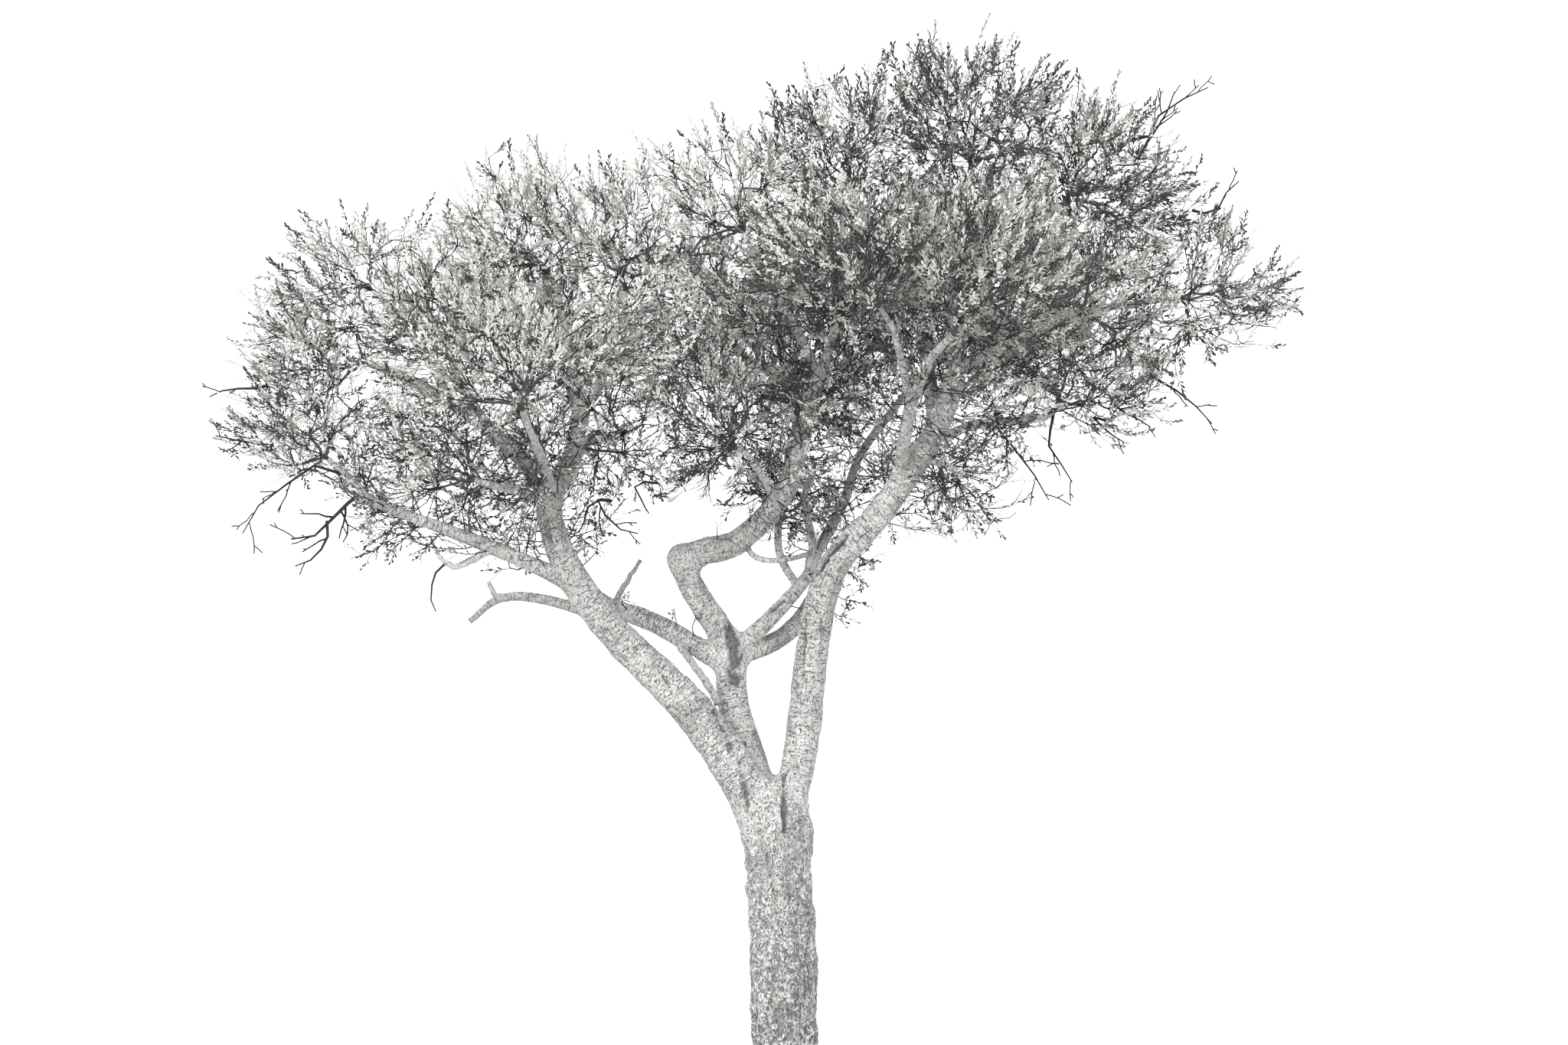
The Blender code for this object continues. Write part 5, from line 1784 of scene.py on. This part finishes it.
@dataclass
class Foliage:
    """One mass of foliage: the twigs that grow on from its bough, and their leaves."""

    name: str
    seed: int
    wood: WoodMap
    own: int  # the limb that carries it, on the wood's map
    reach: Array  # the lowest and highest place that a shoot may end at
    twig_finishes: list[Material]
    leaf_finishes: list[Material]

    def __post_init__(self) -> None:
        """Takes the mass's plan and its own random draws."""
        self.mass = MASSES[self.name]
        self.space = SPACES[self.name]
        self.rng = np.random.default_rng(self.seed)

    def grow(self) -> Twigs:
        """The mass's twigs, from the end of its stem outwards.

        Returns:
            The twigs.
        """
        far_tips = np.array(self.mass.far_tips).reshape(-1, 3)
        leaders = far_tips - unit(far_tips - self.space.centre) * LEADER_LENGTH
        targets = scatter(self.space, self.mass, leaders, self.rng)
        stem = stem_line(self.name)
        twigs = Twigs.from_hub(stem, len(targets))
        for target in sorted(targets, key=lambda place: lengths_of(place - stem[-1])):
            twigs.join(target, self.space, self.wood, self.own)
        twigs.settle()
        return twigs

    def side_shoots(self, twigs: Twigs, lines: Array) -> Shoots:
        """Shoots along the outer twigs.

        Args:
            twigs: the mass's twigs.
            lines: their bent lines.

        Returns:
            The shoots.
        """
        roots, headings = [], []
        for line, heading, tips in zip(lines, twigs.headings[1:], twigs.tips[1:]):
            if tips <= LEAFY_TIPS:
                length = way_along(line)[-1]
                step = SIDE_SHOOT_STEP / max(length, SIDE_SHOOT_STEP)
                shares = np.arange(SIDE_SHOOT_START, 1.0, step)
                roots.append(points_at(line, shares))
                headings.append(np.tile(heading, (len(shares), 1)))
        rows = np.concatenate(roots), np.concatenate(headings)
        return self.aimed(*rows, SIDE_STRAY, SHOOT_LENGTHS)

    def tip_shoots(self, twigs: Twigs) -> Shoots:
        """Shoots that carry on from the ends of the twigs."""
        ends = np.repeat(np.flatnonzero(twigs.tips[1:] == 1) + 1, TIP_SHOOTS)
        return self.aimed(twigs.points[ends], twigs.headings[ends], TIP_STRAY, TIP_SHOOT_LENGTHS)

    def aimed(self, roots: Array, headings: Array, stray: float, lengths: Pair) -> Shoots:
        """Shoots from the roots, turned outwards and up to the light.

        Args:
            roots: where they grow.
            headings: the ways of their twigs.
            stray: how far they may turn from those.
            lengths: the shortest and the longest.

        Returns:
            The shoots.
        """
        outward = unit(roots - self.space.centre) * MASS_SPLAY
        outward += unit(roots - CROWN_HEART) * CROWN_SPLAY
        ways = headings + outward + UP * SHOOT_LIFT
        ways += unit(self.rng.normal(size=ways.shape)) * stray
        lowness = np.clip(-self.space.height(roots), 0, 1)
        deepness = share_between(fullness(roots), *FULLNESS_INSIDE)
        chance = BARE_SHARE + BARE_BELOW * lowness + BARE_INSIDE * deepness
        is_bare = self.rng.random(len(roots)) < chance
        bare = np.where(is_bare, 1.0, self.rng.uniform(*BARE_STARTS, len(roots)))
        radii = np.full(len(roots), SHOOT_RADIUS)
        return Shoots(roots, unit(ways), self.rng.uniform(*lengths, len(roots)), bare, radii)

    def leaders(self, twigs: Twigs) -> Shoots:
        """Long shoots that end at the mass's far tips.

        Args:
            twigs: the mass's twigs.

        Returns:
            The shoots, less those that are too long.
        """
        tips = np.array(self.mass.far_tips).reshape(-1, 3)
        costs = lengths_of(tips[:, None] - twigs.points[None])
        costs[:, twigs.tips > 1] += FAR
        nearest = twigs.points[costs.argmin(1)] if len(tips) else tips
        ways = tips - nearest
        bare, radii = np.full(len(tips), BARE_STARTS[0]), np.full(len(tips), LEADER_RADIUS)
        made = Shoots(nearest, unit(ways), lengths_of(ways), bare, radii)
        return made.kept(made.lengths < LONGEST_LEADER)

    def bare_twigs(self, twigs: Twigs) -> Branchlets:
        """The bare forked twigs that stand out of the mass.

        Args:
            twigs: the mass's leafy twigs.

        Returns:
            The bare ones.
        """
        made = Branchlets(self.rng, BARE_PRONG_STEP, BARE_TWIG_RADII[1])
        for course in self.mass.bare_twigs:
            costs = lengths_of(twigs.points - course[0])
            root = twigs.points[costs.argmin()]
            made.add([root, *course], BARE_TWIG_RADII, costs.min(), 0.0)
        return made

    def shoots(self, twigs: Twigs, lines: Array) -> Shoots:
        """All of the mass's shoots, less those that leave its space or meet a limb.

        Args:
            twigs: the mass's twigs.
            lines: their bent lines.

        Returns:
            The shoots.
        """
        found = Shoots.joined([self.side_shoots(twigs, lines), self.tip_shoots(twigs)])
        ends = found.ends()
        middles = (found.roots + ends) / 2
        fits = self.space.holds(ends, -WALL_OVERLAP)
        fits &= ((ends > self.reach[0]) & (ends < self.reach[1])).all(axis=1)
        fits &= (self.wood.owner(ends) == 0) & (self.wood.owner(middles) == 0)
        chance = self.mass.leafiness * share_between(fullness(ends), *FULLNESS_OF_SHOOTS)
        fits &= self.rng.random(len(fits)) < chance
        return Shoots.joined([found.kept(fits), self.leaders(twigs)])

    def deal_tints(self, shoots: Shoots) -> Array:
        """Deals each shoot one of the leaf colours of painted light and shade: lit in the outer shell,
        shaded deep inside and at the very tips, which stand dark against the bright sky.

        Args:
            shoots: all of the mass's.

        Returns:
            The number of each shoot's leaf colour.
        """
        middles = (shoots.roots + shoots.ends()) / 2
        full = fullness(middles)
        # Painted shade: a mass's own share, less high up, more deep inside the crown and at its outer
        # tips, spread at random by shoot
        gloom = self.mass.gloom - PAINTED_LIGHT_ABOVE * self.space.height(middles)
        heart, edge = share_between(full, *PAINTED_SHADE_HEART), share_between(full, *PAINTED_SHADE_EDGE)
        gloom += PAINTED_SHADE_INSIDE * heart + PAINTED_SHADE_OUTSIDE * edge
        gloom += self.rng.normal(0, PAINTED_SHADE_SPREAD, len(full))
        return np.clip((gloom * len(LeafLight)).astype(int), 0, len(LeafLight) - 1)

    def build(self) -> None:
        """Makes the mass's two pieces, its twigs and its leaves."""
        twigs = self.grow()
        lines = twigs.lines(self.rng)
        radii = np.linspace(1, TWIG_TAPER, TWIG_KNOTS) * twigs.radii()[1:, None]
        shoots = self.shoots(twigs, lines)
        shoot_lines = shoots.lines(self.rng)
        facets = Facets()
        thick = radii[:, 0] > THICK_TWIG
        for which, sides, tint in ((thick, TWIG_SIDES, 0), (~thick, SHOOT_SIDES, 1)):
            if which.any():
                points, faces = sweep(lines[which], radii[which], sides)
                facets.add(points, faces, [tint, tint])
        shoot_radii = shoots.radii[:, None] * np.linspace(1, SHOOT_TAPER, SHOOT_KNOTS)
        pale = self.rng.random(len(shoot_lines)) < PALE_SHOOTS
        for which, tint in ((~pale, 2), (pale, 3)):
            points, faces = sweep(shoot_lines[which], shoot_radii[which], SHOOT_SIDES)
            facets.add(points, faces, [tint, tint])
        self.bare_twigs(twigs).wood(facets, 1)
        short_name = self.name.removeprefix("foliage_")
        self.piece(facets.mesh(f"{short_name}_twigs", smooth=True), self.twig_finishes, "bark")
        tints = self.deal_tints(shoots)
        leaves = shoots.leaves(shoot_lines, tints, leaf_steps(shoots), self.rng)
        mesh = leaf_mesh(f"{short_name}_leaves", *leaves, self.rng)
        self.piece(mesh, self.leaf_finishes, "foliage")
        counts = twigs.count, len(tints), len(leaves[0])
        LOG.info("%s: %d twigs, %d shoots, %d leaves", self.name, *counts)

    def piece(self, mesh: Mesh, finishes: list[Material], slot: str) -> None:
        """Puts one of the mass's pieces in place of its solid."""
        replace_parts(new_piece(mesh, finishes), self.name)


@dataclass
class LimbGrowth:
    """What grows on the limbs outside the masses: sticks, bare twigs and leafy sprays."""

    stick_finishes: list[Material]
    twig_finishes: list[Material]
    leaf_finishes: list[Material]
    seed: int = 90

    def build(self) -> None:
        """Makes the sticks, the bare twigs, the sprays and their leaves."""
        rng = np.random.default_rng(self.seed)
        sticks = Facets()
        for course, root, tip, state in STICKS:
            line = smooth_route(course, STICK_STEP)
            line[1:-1] += rng.normal(0, STICK_WANDER, line[1:-1].shape)
            radii = np.linspace(root, tip, len(line)) * rng.uniform(*STICK_KNOBS, len(line))
            points, faces = sweep(line[None], radii[None], STICK_SIDES)
            sticks.add(points, faces, [state.value, state.value])
        new_piece(sticks.mesh("snapped_sticks", smooth=True), self.stick_finishes)
        stems = Facets()
        dry = Branchlets(rng, BARE_PRONG_STEP, BARE_TWIG_RADII[1])
        for course, clear, root, tip in DRY_TWIGS:
            dry.add(course, (root, tip), clear, 0.0)
        dry.wood(stems, 1)
        for limb in (Part.LEFT.value, Part.RIGHT.value, Part.MIDDLE.value):
            sprays = Branchlets(rng)
            for row in SPRAYS:
                if fork_limb(row.limb) == limb:
                    self.add_sprays(sprays, row)
            sprays.wood(stems, 1)
            self.add_leaves(sprays, limb, rng)
        new_piece(stems.mesh("limb_spray_twigs", smooth=True), self.twig_finishes)

    def add_sprays(self, sprays: Branchlets, row: SprayRow) -> None:
        """Adds one row of sprays, rooted inside the limb that carries them.

        Args:
            sprays: what they are added to.
            row: the row's plan.
        """
        line = limb_route(row.limb, RING_STEP)
        radii = limb_radii(row.limb, len(line))
        rng = sprays.rng
        places = (np.arange(row.count) + rng.random(row.count)) / row.count
        for share in row.first + (row.last - row.first) * places:
            ends = points_at(line, np.clip([share - SPRAY_SPAN, share, share + SPRAY_SPAN], 0, 1))
            along = unit(ends[2] - ends[0])
            out = unit(np.cross(along, rng.normal(size=3)))
            way = unit(out + np.array(row.lean) + along * rng.uniform(*SPRAY_SLANTS))
            length = rng.uniform(*row.lengths)
            inside = float(np.interp(share, np.linspace(0, 1, len(radii)), radii))
            bend = unit(way + rng.normal(0, SPRAY_STRAY, 3) + UP * SPRAY_LIFT)
            middle = ends[1] + way * (inside + length * 0.5)
            course = [ends[1], middle, ends[1] + way * inside + bend * length]
            sprays.add(course, SPRAY_RADII, inside + SPRAY_CLEAR, row.leafy)

    def add_leaves(self, sprays: Branchlets, limb: str, rng: Rng) -> None:
        """Adds the leaves of one row of sprays.

        Args:
            sprays: the sprays.
            limb: the fork's limb that they grow on.
            rng: gives the random draws.
        """
        shoots = sprays.shoots()
        # The sprays' leaves are dealt painted light and shade at random
        tints = rng.choice(len(LeafLight), len(shoots.lengths), p=SPRAY_LIGHT_SHARES)
        steps = np.full(len(tints), LEAF_STEPS[1])
        leaves = shoots.leaves(np.array(sprays.lines), tints, steps, rng)
        mesh = leaf_mesh(f"{limb}_spray_leaves", *leaves, rng)
        new_piece(mesh, self.leaf_finishes)


# ---- finishes
@dataclass
class Board:
    """A material's nodes, added and linked in short calls."""

    material: Material

    def add(self, kind: str, inputs: dict[str | int, object], **settings: object) -> bpy.types.Node:
        """Adds a node.

        Args:
            kind: the node's type, without the word that all types begin with.
            inputs: a value or an output for each named or numbered input.
            **settings: the node's own settings.

        Returns:
            The node.
        """
        tree = self.material.node_tree
        node = tree.nodes.new("ShaderNode" + kind)
        for name, value in settings.items():
            setattr(node, name, value)
        for name, value in inputs.items():
            if isinstance(value, Socket):
                tree.links.new(value, node.inputs[name])
            else:
                node.inputs[name].default_value = value
        return node

    def mix(self, share: object, a: object, b: object) -> Socket:
        """The mix of two colours."""
        node = self.add("Mix", {0: share, 6: a, 7: b}, data_type="RGBA")
        return node.outputs[2]

    def maths(self, operation: str, *values: object) -> Socket:
        """The result of a sum on values or outputs."""
        node = self.add("Math", dict(enumerate(values)), operation=operation)
        return node.outputs[0]

    def times(self, a: object, b: object) -> Socket:
        """The product of two values."""
        return self.maths("MULTIPLY", a, b)

    def vector(self, operation: str, *values: object) -> Socket:
        """The result of a sum on places."""
        node = self.add("VectorMath", dict(enumerate(values)), operation=operation)
        return node.outputs[0]

    def noise(self, place: object, scale: float, detail: float, roughness: float = 0.5) -> Socket:
        """Smooth noise at a place."""
        inputs = {"Vector": place, "Scale": scale, "Detail": detail, "Roughness": roughness}
        return self.add("TexNoise", inputs).outputs["Fac"]

    def spread(self, value: Socket, low: float, high: float) -> Socket:
        """A value stretched so that low gives 0 and high gives 1."""
        node = self.add("MapRange", {"Value": value, "From Min": low, "From Max": high})
        return node.outputs["Result"]


def new_material(name: str, colour: Colour, roughness: float, specular: float) -> Material:
    """A plain material, for a finish to add its nodes to.

    Args:
        name: its name.
        colour: its colour.
        roughness: its roughness.
        specular: how strongly it shines.

    Returns:
        The material.
    """
    material = bpy.data.materials.new(name)
    material.use_nodes = True
    shader = material.node_tree.nodes["Principled BSDF"]
    shader.inputs["Base Color"].default_value = (*colour, 1.0)
    shader.inputs["Roughness"].default_value = roughness
    shader.inputs["Specular IOR Level"].default_value = specular
    return material


@dataclass(frozen=True)
class PlainFinish:
    """A finish that is dealt out by twig or shoot, and so has one colour."""

    name: str
    colour: Colour
    roughness: float
    specular: float = 0.35

    def material(self) -> Material:
        """The finish as a material."""
        return new_material(self.name, self.colour, self.roughness, self.specular)


class Mark(NamedTuple):
    """How one kind of sunk mark on the bark looks: the darkness of its painted shade, and its bump."""

    shade: float  # how dark its painted shade is
    height: float  # how far it stands out, as a share of the bump's depth


# Pits, wrinkles, seams and holes are sunk in the bump and darkened with painted shade
PITS = Mark(0.88, -0.5)
WRINKLES = Mark(0.72, -0.55)
SEAMS = Mark(0.66, -0.7)
HOLES = Mark(0.88, -0.9)


@dataclass(frozen=True)
class BarkFinish:
    """Dry fissured bark: pale plates, painted shade in its grooves and pits, and a fine grain."""

    name: str
    pale: Colour
    dull: Colour
    # the colour of the painted shade in grooves, cracks, pits and splits
    groove: Colour
    pit_scale: float
    pit_share: float

    def material(self) -> Material:
        """The finish as a material.

        Returns:
            The material.
        """
        material = new_material(self.name, self.pale, *BARK_GLOSS)
        board = Board(material)
        shader = material.node_tree.nodes["Principled BSDF"]
        place = board.add("TexCoord", {}).outputs["Object"]
        grain = board.add("Attribute", {}, attribute_name="grain").outputs["Vector"]
        nodes = [board.add("Attribute", {}, attribute_name=name) for name in ("cavity", "age", "purity")]
        cavity, age, purity = (node.outputs["Fac"] for node in nodes)
        stray = board.add("TexNoise", {"Vector": place, **STRAY_NOISE}).outputs["Color"]
        squat = board.vector("MULTIPLY", place, PIT_STRETCH)
        bent = board.vector("MULTIPLY_ADD", stray, PIT_WARP, squat)
        rough = board.noise(bent, self.pit_scale, 4.0, 0.6)
        coarse = board.noise(bent, self.pit_scale * HOLE_SCALE, 2.0)
        old = board.spread(age, *OLD_AGES)
        pits = board.spread(board.maths("MULTIPLY_ADD", age, self.pit_share, rough), *PITS_FROM)
        coarse = board.maths("MULTIPLY_ADD", old, HOLES_WITH_AGE, coarse)
        holes = board.times(board.spread(coarse, *HOLES_FROM), board.spread(age, *HOLE_AGES))
        wavy = board.vector("MULTIPLY_ADD", stray, GRAIN_WARP, grain)
        wrinkle = board.noise(board.vector("MULTIPLY", wavy, WRINKLE_SCALE), 1.0, 3.0)
        wrinkle = board.spread(wrinkle, *WRINKLES_FROM)
        wrinkles = board.times(board.times(wrinkle, board.spread(age, *WRINKLE_AGES)), purity)
        ridge = board.noise(board.vector("MULTIPLY", wavy, SEAM_SCALE), 1.0, 1.0)
        ridge = board.maths("ABSOLUTE", board.maths("SUBTRACT", ridge, 0.5))
        patch = board.noise(place, PATCH_SCALE, 2.0)
        seams = board.times(board.spread(ridge, *SEAMS_FROM), board.spread(patch, *SEAM_PATCHES))
        seams = board.times(seams, purity)
        fine = board.noise(place, FINE_SCALE, 3.0)
        faded = board.times(board.spread(patch, *FADED_PATCHES), FADED_SHARE)
        worn = board.maths("MAXIMUM", faded, board.times(old, WORN_SHARE))
        colour = board.mix(worn, (*self.pale, 1.0), (*self.dull, 1.0))
        colour = board.mix(board.spread(fine, *FINE_FROM), colour, (*self.dull, 1.0))
        # Painted shade of the relief's grooves, cracks and pits, stronger on old bark, and full painted
        # shade in the splits
        dark = board.times(cavity, board.maths("MULTIPLY_ADD", old, *CAVITY_SHADES))
        split = board.times(board.spread(cavity, 1.0, 2.0), SPLIT_SHADE)
        dark = board.maths("MAXIMUM", dark, split)
        height = board.times(fine, FINE_HEIGHT)
        # Painted shade in the sunk pits, wrinkles, seams and holes, which also sink the bump
        for mark, look in ((pits, PITS), (wrinkles, WRINKLES), (seams, SEAMS), (holes, HOLES)):
            dark = board.maths("MAXIMUM", dark, board.times(mark, look.shade))
            height = board.maths("MULTIPLY_ADD", mark, look.height, height)
        # The painted shade mixes the bark's colour towards the groove colour
        colour = board.mix(dark, colour, (*self.groove, 1.0))
        material.node_tree.links.new(colour, shader.inputs["Base Color"])
        height = board.maths("MULTIPLY_ADD", rough, ROUGH_HEIGHT, height)
        bump = board.add("Bump", {"Height": height, "Strength": 1.0, "Distance": BUMP_DEPTH})
        material.node_tree.links.new(bump.outputs["Normal"], shader.inputs["Normal"])
        return material


# The third colour of each finish is that of its painted shade
BARK = BarkFinish(
    "bark", (0.86, 0.855, 0.84), (0.52, 0.515, 0.5), (0.04, 0.039, 0.038), 84.0, 0.085
)
DEAD_WOOD = BarkFinish(
    "dead_wood", (0.6, 0.595, 0.58), (0.42, 0.415, 0.4), (0.08, 0.078, 0.075), 95.0, 0.06
)
TWIG_FINISHES = (
    PlainFinish("bough_bark", (0.085, 0.083, 0.08), 0.85, 0.2),
    PlainFinish("twig_bark", (0.034, 0.033, 0.032), 0.8, 0.25),
    PlainFinish("shoot_bark", (0.04, 0.04, 0.038), 0.75, 0.25),
    PlainFinish("dry_twig_bark", (0.46, 0.455, 0.44), 0.8, 0.25),
)
# Lit, half-shaded and shaded copies of one leaf colour: painted light and painted shade, dealt by shoot
LEAF_FINISHES = (
    PlainFinish("leaf_pale", (0.69, 0.7, 0.67), 0.5),
    PlainFinish("leaf_middle", (0.31, 0.32, 0.3), 0.5),
    PlainFinish("leaf_deep", (0.055, 0.058, 0.053), 0.5),
)


# ---- the studio
@dataclass
class Studio:
    """A pale floor, soft light and the camera."""

    lens: float = 130.0
    film_width: float = 36.0
    furthest: float = 2000.0
    camera_place: Triple = (-0.016, -40.0, 2.0)
    pitch: float = math.radians(5.45)
    floor_size: float = 600.0
    floor_colour: Colour = (0.6, 0.6, 0.595)
    sky_strength: float = 1.5
    sun_strength: float = 2.2
    sun_width: float = math.radians(40)
    sun_turn: Triple = (math.radians(60), 0.0, math.radians(-30))

    def build(self) -> None:
        """Makes the studio."""
        self.add_camera()
        self.add_floor()
        self.add_light()

    def add_camera(self) -> None:
        """Makes the camera, which looks up a little from a low place."""
        data = bpy.data.cameras.new("camera")
        data.lens = self.lens
        data.sensor_width = self.film_width
        data.clip_end = self.furthest
        camera = new_object(data, [])
        camera.location = self.camera_place
        camera.rotation_euler = (math.pi / 2 + self.pitch, 0.0, 0.0)
        bpy.context.scene.camera = camera

    def add_floor(self) -> None:
        """Makes the floor."""
        half = self.floor_size / 2
        corners = np.array([(-half, -half, 0), (half, -half, 0), (half, half, 0), (-half, half, 0)])
        facets = Facets()
        facets.add(corners, [np.array([[0, 1, 2, 3]])], [0])
        finish = PlainFinish("floor_paint", self.floor_colour, 0.9, 0.1).material()
        floor = new_object(facets.mesh("floor", smooth=False), [finish])
        floor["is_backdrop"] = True

    def add_light(self) -> None:
        """Makes a bright even sky and a wide soft sun high in front."""
        world = bpy.data.worlds.new("sky")
        world.use_nodes = True
        background = world.node_tree.nodes["Background"]
        background.inputs["Color"].default_value = (1.0, 1.0, 1.0, 1.0)
        background.inputs["Strength"].default_value = self.sky_strength
        bpy.context.scene.world = world
        data = bpy.data.lights.new("soft_sun", "SUN")
        data.energy = self.sun_strength
        data.angle = self.sun_width
        new_object(data, []).rotation_euler = self.sun_turn
        bpy.context.scene.view_settings.view_transform = "Standard"


def main() -> None:
    """Builds the studio, the wood and each mass of foliage, in order."""
    logging.basicConfig(level=logging.INFO, format="%(name)s %(message)s")
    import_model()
    solid_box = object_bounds()
    Studio().build()
    bark, dead = BARK.material(), DEAD_WOOD.material()
    finishes = {part: dead if part is Part.DEAD else bark for part in Part}
    slots = {part: "dead_wood" if part is Part.DEAD else "bark" for part in Part}
    SPACES.update(make_spaces())
    timber = Timber(finishes, slots, VOXEL)
    timber.build()
    wood = WoodMap.of(timber.cores(), *solid_box)
    twig_finishes = [finish.material() for finish in TWIG_FINISHES]
    leaf_finishes = [finish.material() for finish in LEAF_FINISHES]
    LimbGrowth([bark, dead], twig_finishes, leaf_finishes).build()
    limbs = list(LIMBS)
    reach = np.array([np.array(solid_box[0]) - SHOOT_PROUD, np.array(solid_box[1]) + SHOOT_PROUD])
    for seed, name in enumerate(MASSES, start=100):
        own = limbs.index(MASSES[name].carrier) + 1
        Foliage(name, seed, wood, own, reach, twig_finishes, leaf_finishes).build()


if __name__ == "__main__":
    main()
